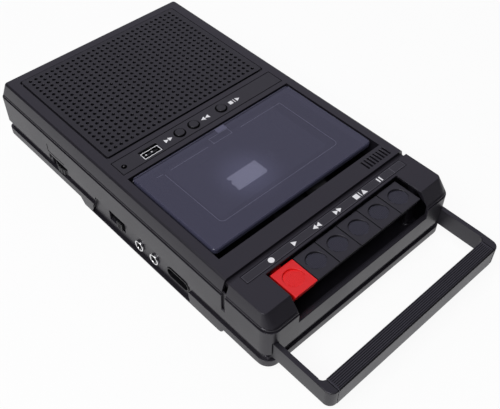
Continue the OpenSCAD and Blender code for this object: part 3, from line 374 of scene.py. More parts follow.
def press_crease(solid):
    """Presses a fine crease into the sloping sides, just above the seam."""
    seam = min(v.co.z for v in solid.verts if depth_under_outline(v.co) < seam_reach)
    for height in crease_heights:
        sides = [
            f for f in solid.faces
            if depth_under_outline(f.calc_center_median()) < side_reach
            and abs(f.normal.z) < side_slope
        ]
        rims = {part for f in sides for part in (*f.edges, *f.verts)}
        bmesh.ops.bisect_plane(
            solid, geom=[*sides, *rims], dist=weld,
            plane_co=(0, 0, seam + height), plane_no=(0, 0, 1),
        )
    bottom = seam + crease_heights[1]
    for v in solid.verts:
        beside_bay = v.co.y < cover_low.y + bay_length and abs(v.co.x) < cheek_half
        on_level = abs(v.co.z - bottom) < 2 * weld and depth_under_outline(v.co) < crease_reach
        if on_level and not beside_bay:
            past = past_corner(v.co)[1]
            outward = Vector((
                math.copysign(max(past.x, 0), v.co.x), math.copysign(max(past.y, 0), v.co.y), 0
            ))
            v.co -= outward.normalized() * crease_depth


cover = merged("top_cover")
soften(cover, rim_width, on_cover_rim, 1)
soften(cover, cover_edge, on_cover_outside)
press_crease(cover)
place_piece(
    cover, "top_cover_skin", "case", case_black, "case_plastic", "top_cover", sharp=cover_sharp
)

# Speaker grille: a raised panel with a square field of round holes over the loudspeaker.
# It is moulded in black plastic and drops into its pocket. Every hole has a small lead-in.
grille_low, grille_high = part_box("speaker_grille")
hole_pitch = 4.34 * mm
hole_radius = 1.2 * mm
hole_lead = 0.08 * mm
hole_sides = 12
grille_columns = 29
grille_rows = 22
grille_corner = 1.4 * mm
grille_edge = 0.2 * mm
grille_gap = 0.3 * mm
grille_undercut = 0.5 * mm


def grown(tree, values):
    """The plain mesh that a geometry tree makes from its named inputs."""
    carrier = bpy.data.objects.new("carrier", bpy.data.meshes.new("carrier"))
    bpy.context.scene.collection.objects.link(carrier)
    maker = carrier.modifiers.new("maker", "NODES")
    maker.node_group = tree
    for socket in tree.interface.items_tree:
        if socket.in_out == "INPUT":
            maker[socket.identifier] = values[socket.name]
    graph = bpy.context.evaluated_depsgraph_get()
    mesh = bpy.data.meshes.new_from_object(carrier.evaluated_get(graph))
    carrier.modifiers.remove(maker)
    bpy.data.objects.remove(carrier)
    return mesh


def end_tree(tree, given, result, copies):
    """Ends a geometry tree: its copies made real, in their finish."""
    nodes, link = tree.nodes, tree.links.new
    real = nodes.new("GeometryNodeRealizeInstances")
    coat = nodes.new("GeometryNodeSetMaterial")
    link(copies.outputs["Instances"], real.inputs["Geometry"])
    link(real.outputs["Geometry"], coat.inputs["Geometry"])
    link(given.outputs["Finish"], coat.inputs["Material"])
    link(coat.outputs["Geometry"], result.inputs["Geometry"])


def hole_field_tree():
    """Sets one cell of the grille on every crossing of a square lattice."""
    tree, given, result = empty_tree(
        "Geometry", "hole_field",
        {"Cell": "Object", "Pitch": "Float", "Columns": "Int", "Rows": "Int", "Finish": "Material"},
        {"Geometry": "Geometry"},
    )
    nodes, link = tree.nodes, tree.links.new
    lattice = nodes.new("GeometryNodeMeshGrid")
    for axis, count in (("X", "Columns"), ("Y", "Rows")):
        steps = maths(tree, "SUBTRACT", given.outputs[count], 1)
        span = maths(tree, "MULTIPLY", steps, given.outputs["Pitch"])
        link(span, lattice.inputs["Size " + axis])
        link(given.outputs[count], lattice.inputs["Vertices " + axis])
    cell = nodes.new("GeometryNodeObjectInfo")
    cell.inputs["As Instance"].default_value = True
    link(given.outputs["Cell"], cell.inputs["Object"])
    copies = nodes.new("GeometryNodeInstanceOnPoints")
    link(lattice.outputs["Mesh"], copies.inputs["Points"])
    link(cell.outputs["Geometry"], copies.inputs["Instance"])
    end_tree(tree, given, result, copies)
    return tree


def ring_angles():
    """Angles of a hole's corners, turned so that four of them meet the cell's corners."""
    step = 2 * math.pi / hole_sides
    return [(k + 0.5) * step for k in range(hole_sides)]


def on_square(angle, half):
    """The point of a square's outline at an angle."""
    c, s = math.cos(angle), math.sin(angle)
    reach = half / max(abs(c), abs(s))
    return Vector((reach * c, reach * s))


def bridge(solid, first, second):
    """Joins two loops of corners by a ring of faces."""
    for k in range(len(first)):
        n = (k + 1) % len(first)
        solid.faces.new((first[k], first[n], second[n], second[k]))


def grille_cell():
    """One square cell of the grille with its hole, open at the sides that meet its neighbours."""
    solid = bmesh.new()
    top, bottom = grille_high.z, grille_low.z
    rings = (
        (None, top),
        (hole_radius + hole_lead, top),
        (hole_radius, top - hole_lead),
        (hole_radius, bottom),
        (None, bottom),
    )
    loops = []
    for radius, z in rings:
        loop = []
        for angle in ring_angles():
            flat = on_square(angle, hole_pitch / 2) if radius is None else (
                radius * Vector((math.cos(angle), math.sin(angle)))
            )
            loop.append(solid.verts.new((*flat, z)))
        loops.append(loop)
    for outer, inner in zip(loops, loops[1:]):
        bridge(solid, outer, inner)
    mesh = bpy.data.meshes.new("grille_cell")
    solid.to_mesh(mesh)
    solid.free()
    return bpy.data.objects.new("grille_cell", mesh)


def rounded_outline(half_x, half_y, corner, steps=6):
    """Corner-rounded rectangle about the origin, as points that run anticlockwise."""
    points = []
    for turn, (sx, sy) in enumerate(((1, 1), (-1, 1), (-1, -1), (1, -1))):
        centre = Vector((sx * (half_x - corner), sy * (half_y - corner)))
        for k in range(steps + 1):
            angle = (turn + k / steps) * math.pi / 2
            points.append(centre + corner * Vector((math.cos(angle), math.sin(angle))))
    return points


def grille_border(solid, centre):
    """The plain margin round the field of holes, with a rounded outer edge."""
    half = (grille_high - grille_low) / 2 - Vector((1, 1, 0)) * grille_gap
    foot = half - Vector((1, 1, 0)) * grille_undercut
    field = Vector((grille_columns, grille_rows)) * hole_pitch / 2
    sides = (
        (grille_rows, lambda step: (field.x, step - field.y)),
        (grille_columns, lambda step: (field.x - step, field.y)),
        (grille_rows, lambda step: (-field.x, field.y - step)),
        (grille_columns, lambda step: (step - field.x, -field.y)),
    )
    inner = [
        Vector(place((cell + 0.5) * hole_pitch + math.tan(angle) * hole_pitch / 2))
        for count, place in sides
        for cell in range(count)
        for angle in (-math.pi / 4, -math.pi / hole_sides, math.pi / hole_sides)
    ]
    halfway = 0.3 * grille_edge
    levels = (
        (rounded_outline(foot.x, foot.y, grille_corner), grille_low.z),
        (rounded_outline(half.x, half.y, grille_corner), grille_high.z - grille_edge),
        (rounded_outline(half.x - halfway, half.y - halfway, grille_corner), grille_high.z - halfway),
        (rounded_outline(half.x - grille_edge, half.y - grille_edge, grille_corner), grille_high.z),
    )
    def loop_at(points, z):
        return [solid.verts.new((p.x + centre.x, p.y + centre.y, z)) for p in points]

    def fill(outline, z):
        edges = []
        for loop in (loop_at(inner, z), outline):
            pairs = zip(loop, loop[1:] + loop[:1])
            edges += [solid.edges.get(pair) or solid.edges.new(pair) for pair in pairs]
        bmesh.ops.triangle_fill(solid, edges=edges, use_beauty=True)

    loops = [loop_at(points, z) for points, z in levels]
    for low, high in zip(loops, loops[1:]):
        bridge(solid, low, high)
    fill(loops[-1], grille_high.z)
    fill(loops[0], grille_low.z)


def build_grille():
    """The whole panel: the field of cells with the margin merged to it."""
    centre = (grille_low + grille_high) / 2
    cell = grille_cell()
    field = grown(hole_field_tree(), {
        "Cell": cell, "Pitch": hole_pitch, "Columns": grille_columns, "Rows": grille_rows,
        "Finish": grille_black,
    })
    bpy.data.objects.remove(cell)
    field.transform(Matrix.Translation((centre.x, centre.y, 0)))
    solid = bmesh.new()
    solid.from_mesh(field)
    grille_border(solid, centre)
    bmesh.ops.remove_doubles(solid, verts=solid.verts, dist=2 * weld)
    bmesh.ops.recalc_face_normals(solid, faces=solid.faces)
    return solid


grille_black = moulding("grille_black", tone(24, 23, 27), 0.42)
place_piece(
    build_grille(), "speaker_grille_panel", "case", grille_black, "grille_plastic", "speaker_grille"
)

# Loudspeaker: pressed steel basket, black paper cone with its dust dome, and a ferrite magnet.
# It hangs under the grille and shows only through the holes.
cone_paper = moulding("cone_paper", tone(26, 26, 27), 0.85, grain=700, depth=0.1 * mm, gloss=0.2)
ferrite = moulding("ferrite_ring", tone(58, 58, 60), 0.6, grain=500, depth=0.05 * mm)
basket_steel = metal("basket_steel", tone(120, 120, 124), 0.35)
finish_nodes(cone_paper, "speaker_cone")
finish_nodes(ferrite, "speaker_magnet")
finish_nodes(basket_steel, "speaker_frame")

# Control strip: a thin moulded strip between the grille and the cassette door.
# It carries three small push buttons, the lamp, the metal socket and printed symbols, with dark rings
# of painted shade round the buttons and the lamp.
strip_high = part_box("control_strip")[1]
strip_black = moulding("strip_black", tone(29, 28, 32), 0.38)
button_black = moulding("button_black", tone(20, 20, 22), 0.3)
white_ink = moulding("white_ink", tone(238, 238, 240), 0.5, clouds=0.05)
print_height = 0.06 * mm
ink_rise = 0.02 * mm
strip_edge, button_edge = 0.25 * mm, 0.5 * mm
buttons = ("next_button", "previous_button", "play_stop_button")


def prism(outlines, low, high, place):
    """Flat shapes with a little thickness; place turns a flat point and a height into a corner."""
    solid = bmesh.new()
    for outline in outlines:
        base = [solid.verts.new(place(u, v, low)) for u, v in outline]
        lid = [solid.verts.new(place(u, v, high)) for u, v in outline]
        solid.faces.new(base)
        solid.faces.new(lid)
        bridge(solid, base, lid)
    bmesh.ops.recalc_face_normals(solid, faces=solid.faces)
    return solid


def lying(u, v, height):
    """A corner on a level face, from millimetres along X and Y."""
    return Vector((u * mm, v * mm, height))


def arrow(tip, back, middle, half):
    """A triangle that points along X from its back to its tip."""
    return [(back, middle - half), (back, middle + half), (tip, middle)]


def bar(left, right, low, high):
    """An upright rectangle."""
    return [(left, low), (right, low), (right, high), (left, high)]


def disc(x, y, radius, count=32):
    """A round spot."""
    angles = [2 * math.pi / count * k for k in range(count)]
    return [(x + radius * math.cos(a), y + radius * math.sin(a)) for a in angles]


dress(
    "control_strip", strip_edge, strip_black, "case_plastic", lambda p: p.z > strip_high.z - 1 * mm
)
for button in buttons:
    dress(button, button_edge, button_black, "dark_plastic", lambda p: p.z > strip_high.z)
symbol_y = 10.8
symbol_half, square_half = 1.7, 1.5
strip_symbols = [
    arrow(-27.5, -30.4, symbol_y, symbol_half),
    arrow(-24.4, -27.3, symbol_y, symbol_half),
    arrow(-0.2, 3, symbol_y, symbol_half),
    arrow(3.2, 6.4, symbol_y, symbol_half),
    bar(24.3, 27.2, symbol_y - square_half, symbol_y + square_half),
    bar(28.4, 28.9, symbol_y - symbol_half, symbol_y + symbol_half),
    arrow(33.4, 30.3, symbol_y, symbol_half),
]
place_piece(
    prism(strip_symbols, strip_high.z - print_height, strip_high.z + print_height, lying),
    "strip_symbols", "case", white_ink, "white_plastic",
)


def ring_solid(pairs, low, high, place):
    """Flat rings with a little thickness, each between an inner and an outer outline."""
    solid = bmesh.new()
    for inner, outer in pairs:
        loops = [
            [solid.verts.new(place(u, v, z)) for u, v in outline]
            for outline, z in ((inner, low), (outer, low), (outer, high), (inner, high))
        ]
        for loop, following in zip(loops, loops[1:] + loops[:1]):
            bridge(solid, loop, following)
    bmesh.ops.recalc_face_normals(solid, faces=solid.faces)
    return solid


def middle(node):
    """The middle of a node's box seen from above, in millimetres."""
    low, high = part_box(node)
    return (low.x + high.x) / 2 / mm, (low.y + high.y) / 2 / mm


# A dull black used for painted shade (rings round the buttons and lamp, the sleeve in the socket) and
# for the printed volume mark.
shade_and_print_black = moulding("shade_and_print_black", tone(3, 3, 4), 0.9, gloss=0.05)
button_ring = (3.65, 4.25)
lamp_ring = (1.2, 1.9)
rings = [(middle(button), button_ring) for button in buttons]
rings.append((middle("power_led"), lamp_ring))
# Painted shade: flat black rings round the buttons and the lamp stand in for the shade in their gaps.
place_piece(
    ring_solid(
        [(disc(*spot, inner), disc(*spot, outer)) for spot, (inner, outer) in rings],
        strip_high.z - print_height, strip_high.z + ink_rise, lying,
    ),
    "strip_rings", "case", shade_and_print_black, "dark_plastic",
)
lamp_dark = moulding("lamp_dark", tone(10, 6, 7), 0.12, grain=300, depth=0.005 * mm)
finish_nodes(lamp_dark, "power_led")
bright_nickel = metal("bright_nickel", tone(226, 226, 228), 0.12, 0.4)
bright_tin = metal("bright_tin", tone(250, 250, 252), 0.85, 0.4)
socket_low, socket_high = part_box("usb_socket")
tongue_low, tongue_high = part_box("usb_tongue")
socket_x, socket_y = middle("usb_socket")
socket_half = (socket_high - socket_low) / 2 / mm
shell_wall, shade_thickness = 0.55, 0.2
shell_edge, tongue_edge = 0.1 * mm, 0.2 * mm
shade_drop = 0.15 * mm
contact_half_x, contact_half_y = 0.5, 0.45
contact_steps = (-3.2, 1.2)


def socket_outline(inset):
    """The socket's outline, set in from its outside."""
    return bar(
        socket_x - socket_half.x + inset, socket_x + socket_half.x - inset,
        socket_y - socket_half.y + inset, socket_y + socket_half.y - inset,
    )


dress("usb_socket", shell_edge, bright_tin, "nickel")
dress("usb_tongue", tongue_edge, button_black, "dark_plastic")
# Painted shade: a thin black sleeve inside the shell stands in for the shade on its inner walls.
place_piece(
    ring_solid(
        [(socket_outline(shell_wall + shade_thickness), socket_outline(shell_wall))],
        tongue_low.z, socket_high.z - shade_drop, lying,
    ),
    "usb_liner", "case", shade_and_print_black, "dark_plastic",
)
contact_x, contact_y = middle("usb_tongue")
contacts = [
    bar(
        contact_x + step - contact_half_x, contact_x + step + contact_half_x,
        contact_y - contact_half_y, contact_y + contact_half_y,
    )
    for step in contact_steps
]
place_piece(
    prism(contacts, tongue_high.z - print_height, tongue_high.z + ink_rise, lying),
    "usb_contacts", "case", bright_tin, "nickel",
)

# Circuit boards and switches under the strip and in the tray.
# Green lacquered boards, black tact switches and the electret microphone in its can.
board_green = moulding("board_green", tone(38, 92, 58), 0.35, grain=400, depth=0.03 * mm)
finish_nodes(board_green, "control_board", "main_board")
finish_nodes(button_black, "tact_switches", "selector_switch", "volume_pot")
finish_nodes(basket_steel, "microphone")

# Cassette door: a polished smoked lid over the cassette well, on a black carrier for the tape.
# The lid is moulded in tinted see-through plastic with a round rim and swings up on steel pins.
# Fine lines and a paler tab at its back are moulded into it.
lid_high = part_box("door_window")[1]
# Painted light: the lid's colour is blended towards a pale blue round this point, fading out over
# this reach.
painted_glow_centre = Vector((-11.5, -45.5, 50)) * mm
painted_glow_reach = 30 * mm
painted_glow_share = 0.35
lid_edge, carrier_edge = 1.1 * mm, 0.4 * mm
line_rise = 0.01 * mm


def lid_with_painted_glow():
    """The smoked plastic, with a painted glow: its colour turns paler round the middle, standing in
    for light from the well.
    """
    material = moulding(
        "lid_smoke", tone(66, 66, 86), 0.09, grain=200, depth=0, clouds=0.05, alpha=0.74
    )
    nodes, link = material.node_tree.nodes, material.node_tree.links.new
    place = nodes.new("ShaderNodeTexCoord")
    offset = nodes.new("ShaderNodeVectorMath")
    offset.operation = "DISTANCE"
    offset.inputs[1].default_value = painted_glow_centre
    fade = nodes.new("ShaderNodeMapRange")
    fade.interpolation_type = "SMOOTHERSTEP"
    fade.inputs["From Max"].default_value = painted_glow_reach
    fade.inputs["To Min"].default_value = painted_glow_share
    fade.inputs["To Max"].default_value = 0
    glow_mix = nodes.new("ShaderNodeMix")
    glow_mix.data_type = "RGBA"
    base, pale = (s for s in glow_mix.inputs if s.name in ("A", "B") and s.type == "RGBA")
    blend = next(s for s in glow_mix.outputs if s.type == "RGBA")
    pale.default_value = (*tone(112, 114, 146), 1)
    surface, skin = nodes["Principled BSDF"], nodes["Group"]
    link(place.outputs["Object"], offset.inputs[0])
    link(offset.outputs["Value"], fade.inputs["Value"])
    link(fade.outputs["Result"], glow_mix.inputs["Factor"])
    link(skin.outputs["Colour"], base)
    link(blend, surface.inputs["Base Color"])
    return material


dress("door_window", lid_edge, lid_with_painted_glow(), "smoked_window", lambda p: p.z > lid_high.z - 1 * mm)


def hairline(points, width):
    """A narrow strip along a chain of points, as one flat outline with mitred bends."""
    chain = [Vector(p) for p in points]
    runs = [(b - a).normalized() for a, b in zip(chain, chain[1:])]
    left, right = [], []
    for point, before, after in zip(chain, runs[:1] + runs, runs + runs[-1:]):
        bend = (before + after).normalized()
        side = Vector((-bend.y, bend.x)) * width / 2 / max(bend.dot(after), 0.3)
        left.append(point + side)
        right.append(point - side)
    return right + left[::-1]


def line_ring(left, right, low, high, width):
    """The inner and outer outline of a rectangle drawn as a line."""
    half = width / 2
    return (
        bar(left + half, right - half, low + half, high - half),
        bar(left - half, right + half, low - half, high + half),
    )


def arc(x, y, radius, first, last, steps=6):
    """Points on a round corner, between two angles in degrees."""
    angles = (math.radians(first + (last - first) * k / steps) for k in range(steps + 1))
    return [(x + radius * math.cos(a), y + radius * math.sin(a)) for a in angles]


line_left, line_right, line_front, line_back = -49, 49, -64.5, -11.8
line_corner = 3
lid_line = 0.22
frame_path = (
    [(line_left + 35, line_back), (line_left + 5, line_back)],
    [(line_left - 5.3, line_back + 0.7), (line_left - 0.7, line_back + 0.2)],
    [(line_left, line_back - 0.7)]
    + arc(line_left + line_corner, line_front + line_corner, line_corner, 180, 270)
    + arc(line_right - line_corner, line_front + line_corner, line_corner, 270, 360)
    + [(line_right, line_back)],
    [(line_right, line_back), (line_right - 35, line_back)],
)
lid_line_grey = moulding("lid_line_grey", tone(104, 104, 122), 0.2, clouds=0.05)
place_piece(
    prism(
        [hairline(path, lid_line) for path in frame_path],
        lid_high.z - print_height, lid_high.z + line_rise, lying,
    ),
    "lid_lines", "cassette_door", lid_line_grey, "smoked_window",
)
tab_left, tab_right, tab_front = -0.5, 7.1, -6.4
tab_pale = moulding("tab_pale", tone(84, 84, 106), 0.12, grain=200, depth=0, clouds=0.05)
place_piece(
    prism(
        [bar(tab_left, tab_right, tab_front, lid_high.y / mm - 1)],
        lid_high.z - print_height, lid_high.z + line_rise, lying,
    ),
    "lid_tab", "cassette_door", tab_pale, "smoked_window",
)
box_left, box_right, box_front, box_back = -9, 6.4, -12, -6.9
place_piece(
    ring_solid(
        [line_ring(box_left, box_right, box_front, box_back, lid_line)],
        lid_high.z - print_height, lid_high.z + line_rise, lying,
    ),
    "lid_tab_box", "cassette_door", lid_line_grey, "smoked_window",
)
carrier_black = moulding("carrier_black", tone(18, 18, 20), 0.5)
dress("cassette_carrier", carrier_edge, carrier_black, "dark_plastic")

# Transport: chassis plate with the spindles, head carriage, capstan, flywheel, motor and belt.
# Pressed and blackened steel, black nylon spindles, a bronze bearing, and rubber on the roller
# and the belt. The pale plate between the spindles glows with painted light, given by emission, so
# that it shows through the lid.
plate_steel = metal("plate_steel", tone(150, 150, 154), 0.3)
black_steel = metal("black_steel", tone(34, 34, 37), 0.5)
nylon_black = moulding("nylon_black", tone(20, 20, 22), 0.5)
bearing_bronze = metal("bearing_bronze", tone(190, 150, 92), 0.3)
belt_rubber = moulding("belt_rubber", tone(28, 28, 29), 0.7, grain=700, depth=0.05 * mm)
reflector_white = moulding("reflector_white", tone(235, 236, 245), 0.4)
# Painted light: the reflector plate emits light of its own, though it is no lamp.
painted_glow_strength = 1.6
reflector_glow = reflector_white.node_tree.nodes["Principled BSDF"]
reflector_glow.inputs["Emission Color"].default_value = (*tone(225, 225, 255), 1)
reflector_glow.inputs["Emission Strength"].default_value = painted_glow_strength
finish_nodes(
    black_steel, "mechanism_plate", "key_return_springs", "head_bridge", "pinch_arm", "key_shaft",
    "door_hinge_pins", "record_play_head", "erase_head",
)
finish_nodes(plate_steel, "drive_motor")
finish_nodes(bright_nickel, "capstan_shaft", "battery_contacts")
finish_nodes(zinc_steel, "flywheel")
finish_nodes(bearing_bronze, "capstan_bearing", "motor_pulley")
finish_nodes(belt_rubber, "drive_belt", "pinch_roller")
finish_nodes(nylon_black, "supply_spindle", "takeup_spindle")
finish_nodes(reflector_white, "tape_reflector")

# Power parts: the mains transformer that stands in the tray.
# Its windings sit in a stack of varnished iron plates.
core_iron = moulding("core_iron", tone(96, 88, 82), 0.45, grain=600, depth=0.05 * mm)
finish_nodes(core_iron, "power_transformer")

# Label strip: a thin printed strip behind the keys with one transport symbol above each key.
# Satin black film in a shallow pocket, screen printed in white.
label_low, label_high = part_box("label_strip")
label_black = moulding("label_black", tone(31, 30, 34), 0.3, grain=1200, depth=0.008 * mm)
label_edge = 0.1 * mm
dress("label_strip", label_edge, label_black, "case_plastic")
label_inset, end_field = 0.3, 10
label_left, label_right = label_low.x / mm + label_inset, label_high.x / mm - label_inset
label_front, label_back = label_low.y / mm + label_inset, label_high.y / mm - label_inset
mark_left = label_right - end_field
# Painted highlight: thin light grey lines round the strip stand in for the light caught by the edges
# of its pocket.
label_line = 0.22
painted_edge_highlight = moulding("painted_edge_highlight", tone(78, 77, 84), 0.35, clouds=0.05)
place_piece(
    ring_solid(
        [
            line_ring(label_left, mark_left, label_front, label_back, label_line),
            line_ring(mark_left + label_line, label_right, label_front, label_back, label_line),
        ],
        label_high.z - print_height, label_high.z + ink_rise, lying,
    ),
    "label_outline", "case", painted_edge_highlight, "case_plastic",
)
label_y = (label_low.y + label_high.y) / 2 / mm
label_half, dot_radius = 1.8, 1.9
key_symbols = [
    disc(-46.4, label_y, dot_radius),
    arrow(-26.6, -29.8, label_y, label_half),
    arrow(-13.2, -10.2, label_y, label_half),
    arrow(-10.2, -7.2, label_y, label_half),
    arrow(7.7, 4.7, label_y, label_half),
    arrow(10.7, 7.7, label_y, label_half),
    bar(22.2, 25.8, label_y - label_half, label_y + label_half),
    bar(27, 27.5, label_y - label_half, label_y + label_half),
    [(28.4, label_y - label_half), (32.4, label_y - label_half), (30.4, label_y + label_half)],
    bar(43.4, 44.4, label_y - label_half, label_y + label_half),
    bar(45.6, 46.6, label_y - label_half, label_y + label_half),
]
place_piece(
    prism(key_symbols, label_high.z - print_height, label_high.z + print_height, lying),
    "key_symbols", "case", white_ink, "white_plastic",
)

# Piano keys: six moulded keys on one steel shaft, black except the red record key.
# Each has a round finger dish, deepest at the back, with a field of small square studs in it.
keys = ("record_key", "play_key", "rewind_key", "fast_forward_key", "stop_eject_key", "pause_key")
key_length = 20 * mm
dish_radius = 6.3 * mm
dish_fall = 0.65 * mm
stud_pitch = 0.95 * mm
stud_height = 0.25 * mm
stud_count = 13
stud_top_share, stud_foot_share = 0.61, 0.67
stud_margin = 0.3 * mm
least_stud = 0.1
key_edge = 0.35 * mm
key_back_margin = 0.5 * mm
key_black = moulding("key_black", tone(29, 28, 33), 0.38)
key_red = moulding("key_red", tone(224, 24, 22), 0.4, clouds=0.06)
# Painted light: the studs are a lighter tone than their key, making up for the shade that falls
# between them.
stud_black_painted_light = moulding("stud_black_painted_light", tone(42, 42, 53), 0.38)
stud_red_painted_light = moulding("stud_red_painted_light", tone(236, 30, 27), 0.4, clouds=0.06)


def stud_field_tree():
    """Square studs over a round dish, lower where the dish is shallow."""
    tree, given, result = empty_tree(
        "Geometry", "stud_field",
        {"Pitch": "Float", "Radius": "Float", "Fall": "Float", "Height": "Float", "Count": "Int",
         "Finish": "Material"},
        {"Geometry": "Geometry"},
    )
    nodes, link = tree.nodes, tree.links.new
    pitch, radius, fall, height, count = (
        given.outputs[name] for name in ("Pitch", "Radius", "Fall", "Height", "Count")
    )
    lattice = nodes.new("GeometryNodeMeshGrid")
    width = maths(tree, "MULTIPLY", maths(tree, "SUBTRACT", count, 1), pitch)
    for axis in ("X", "Y"):
        link(width, lattice.inputs["Size " + axis])
        link(count, lattice.inputs["Vertices " + axis])
    spot = nodes.new("GeometryNodeInputPosition")
    reach = nodes.new("ShaderNodeVectorMath")
    reach.operation = "LENGTH"
    link(spot.outputs[0], reach.inputs[0])
    edge = maths(tree, "SUBTRACT", radius, stud_margin)
    trim = nodes.new("GeometryNodeDeleteGeometry")
    link(lattice.outputs["Mesh"], trim.inputs["Geometry"])
    link(maths(tree, "GREATER_THAN", reach.outputs["Value"], edge), trim.inputs["Selection"])
    parts = nodes.new("ShaderNodeSeparateXYZ")
    link(spot.outputs[0], parts.inputs[0])
    drop = maths(tree, "MULTIPLY", parts.outputs["Y"], maths(tree, "DIVIDE", fall, radius))
    share = maths(tree, "DIVIDE", maths(tree, "ADD", fall, drop), height)
    share = maths(tree, "MINIMUM", maths(tree, "MAXIMUM", share, least_stud), 1)
    size = nodes.new("ShaderNodeCombineXYZ")
    size.inputs["X"].default_value = 1
    size.inputs["Y"].default_value = 1
    link(share, size.inputs["Z"])
    stud = nodes.new("GeometryNodeMeshCone")
    stud.inputs["Vertices"].default_value = 4
    link(maths(tree, "MULTIPLY", pitch, stud_top_share), stud.inputs["Radius Top"])
    link(maths(tree, "MULTIPLY", pitch, stud_foot_share), stud.inputs["Radius Bottom"])
    link(height, stud.inputs["Depth"])
    turn = nodes.new("GeometryNodeTransform")
    turn.inputs["Rotation"].default_value = (0, 0, math.pi / 4)
    link(stud.outputs["Mesh"], turn.inputs["Geometry"])
    copies = nodes.new("GeometryNodeInstanceOnPoints")
    link(trim.outputs["Geometry"], copies.inputs["Points"])
    link(turn.outputs["Geometry"], copies.inputs["Instance"])
    link(size.outputs[0], copies.inputs["Scale"])
    end_tree(tree, given, result, copies)
    return tree


stud_field = stud_field_tree()
for key in keys:
    key_low, key_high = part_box(key)
    plastic, stud_finish, slot = key_black, stud_black_painted_light, "key_plastic"
    if key == "record_key":
        plastic, stud_finish, slot = key_red, stud_red_painted_light, "record_red"
    key_back = key_low.y + key_length + key_back_margin
    dress(key, key_edge, plastic, slot, lambda p: p.y < key_back)
    studs = grown(stud_field, {
        "Pitch": stud_pitch, "Radius": dish_radius, "Fall": dish_fall, "Height": stud_height,
        "Count": stud_count, "Finish": stud_finish,
    })
    dish = Vector(((key_low.x + key_high.x) / 2, key_low.y + key_length / 2, key_high.z - dish_fall))
    tilt = -math.atan(dish_fall / dish_radius)
    studs.transform(Matrix.Translation(dish) @ Matrix.Rotation(tilt, 4, "X"))
    solid = bmesh.new()
    solid.from_mesh(studs)
    place_piece(solid, key + "_studs", key, stud_finish, slot)

# Carrying handle: a moulded bow that slides out of the key end, with a ribbed grip on its bar.
# The bow is the case plastic with rounded corners, and the grip is a sleeve of softer black
# with a flat bevel along its front. A small gap is left at each of its ends.
handle_edge = 0.7 * mm
handle_black = moulding("handle_black", tone(28, 27, 32), 0.38)
dress("handle_frame", handle_edge, handle_black, "case_plastic")
grip_gap = 0.4 * mm
grip_bevel, grip_edge = 0.8 * mm, 0.1 * mm
grip_black = moulding("grip_black", tone(44, 43, 50), 0.4)
grip_low, grip_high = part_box("handle_grip")
grip = merged("handle_grip")
for v in grip.verts:
    if abs(v.co.x) > grip_high.x - touch:
        v.co.x -= math.copysign(grip_gap, v.co.x)
front_edge = [
    e for e in grip.edges
    if all(v.co.y < grip_low.y + touch and v.co.z > grip_high.z - touch for v in e.verts)
]
bmesh.ops.bevel(grip, geom=front_edge, offset=grip_bevel, segments=1, affect="EDGES")
soften(grip, grip_edge)
place_piece(
    grip, "handle_grip_skin", body_of["handle_grip"], grip_black, "rubber", "handle_grip"
)

# Painted shade in the grip: dull black strips lie in the feet of the long grooves between its ribs
# and on the bevel along its front, standing in for the shade there.
groove_painted_shade = moulding("groove_painted_shade", tone(9, 9, 11), 0.6, gloss=0.3)
groove_count = 7
groove_width = 0.5 * mm
groove_pitch = (grip_high.y - grip_low.y - 2 * groove_width) / groove_count
groove_length = 2 * grip_high.x - 4 * mm
strip_width, strip_height, strip_drop = groove_width - 0.02 * mm, 0.24 * mm, 0.34 * mm
bevel_length, bevel_width, bevel_height = groove_length + 2 * mm, 1.05 * mm, 0.06 * mm


def add_strip(solid, y, z, tilt, *size):
    """Adds a long block across the grip, tilted about its length."""
    place = Matrix.Translation((0, y, z)) @ Matrix.Rotation(tilt, 4, "X")
    bmesh.ops.create_cube(solid, matrix=place @ Matrix.Diagonal((*size, 1)))


shade_strips = bmesh.new()
for count in range(1, groove_count + 1):
    groove_y = grip_low.y + count * groove_pitch + groove_width / 2
    add_strip(
        shade_strips, groove_y, grip_high.z - strip_drop, 0, groove_length, strip_width, strip_height
    )
add_strip(
    shade_strips, grip_low.y + grip_bevel / 2, grip_high.z - grip_bevel / 2, math.pi / 4,
    bevel_length, bevel_width, bevel_height,
)
place_piece(shade_strips, "handle_grip_grooves", body_of["handle_grip"], groove_painted_shade, "rubber")

# Left side: mains inlet, two sockets with bright rings, the selector knob and the volume wheel.
# Black mouldings, nickel-plated ring nuts and a knurled thumb wheel.
side_black = moulding("side_black", tone(10, 10, 12), 0.4, gloss=0.35)
side_edge, nut_edge = 0.2 * mm, 0.3 * mm
for node in ("ac_inlet", "selector_knob", "mic_jack", "ear_jack"):
    dress(node, side_edge, side_black, "dark_plastic")
dress("jack_nuts", nut_edge, bright_nickel, "nickel")
dress("volume_wheel", side_edge, side_black, "dark_plastic")
mark_line = 0.9
mark_rise = 0.004 * mm


def on_left_wall(u, v, height):
    """A corner on the left wall, from millimetres along Y and Z."""
    return Vector((case_low.x - height, u * mm, v * mm))


wedge = [(60, 25.2), (78.6, 25.2), (78.6, 31.5)]
place_piece(
    prism([hairline(wedge, mark_line)], -print_height, mark_rise, on_left_wall),
    "volume_mark", "case", shade_and_print_black, "dark_plastic",
)

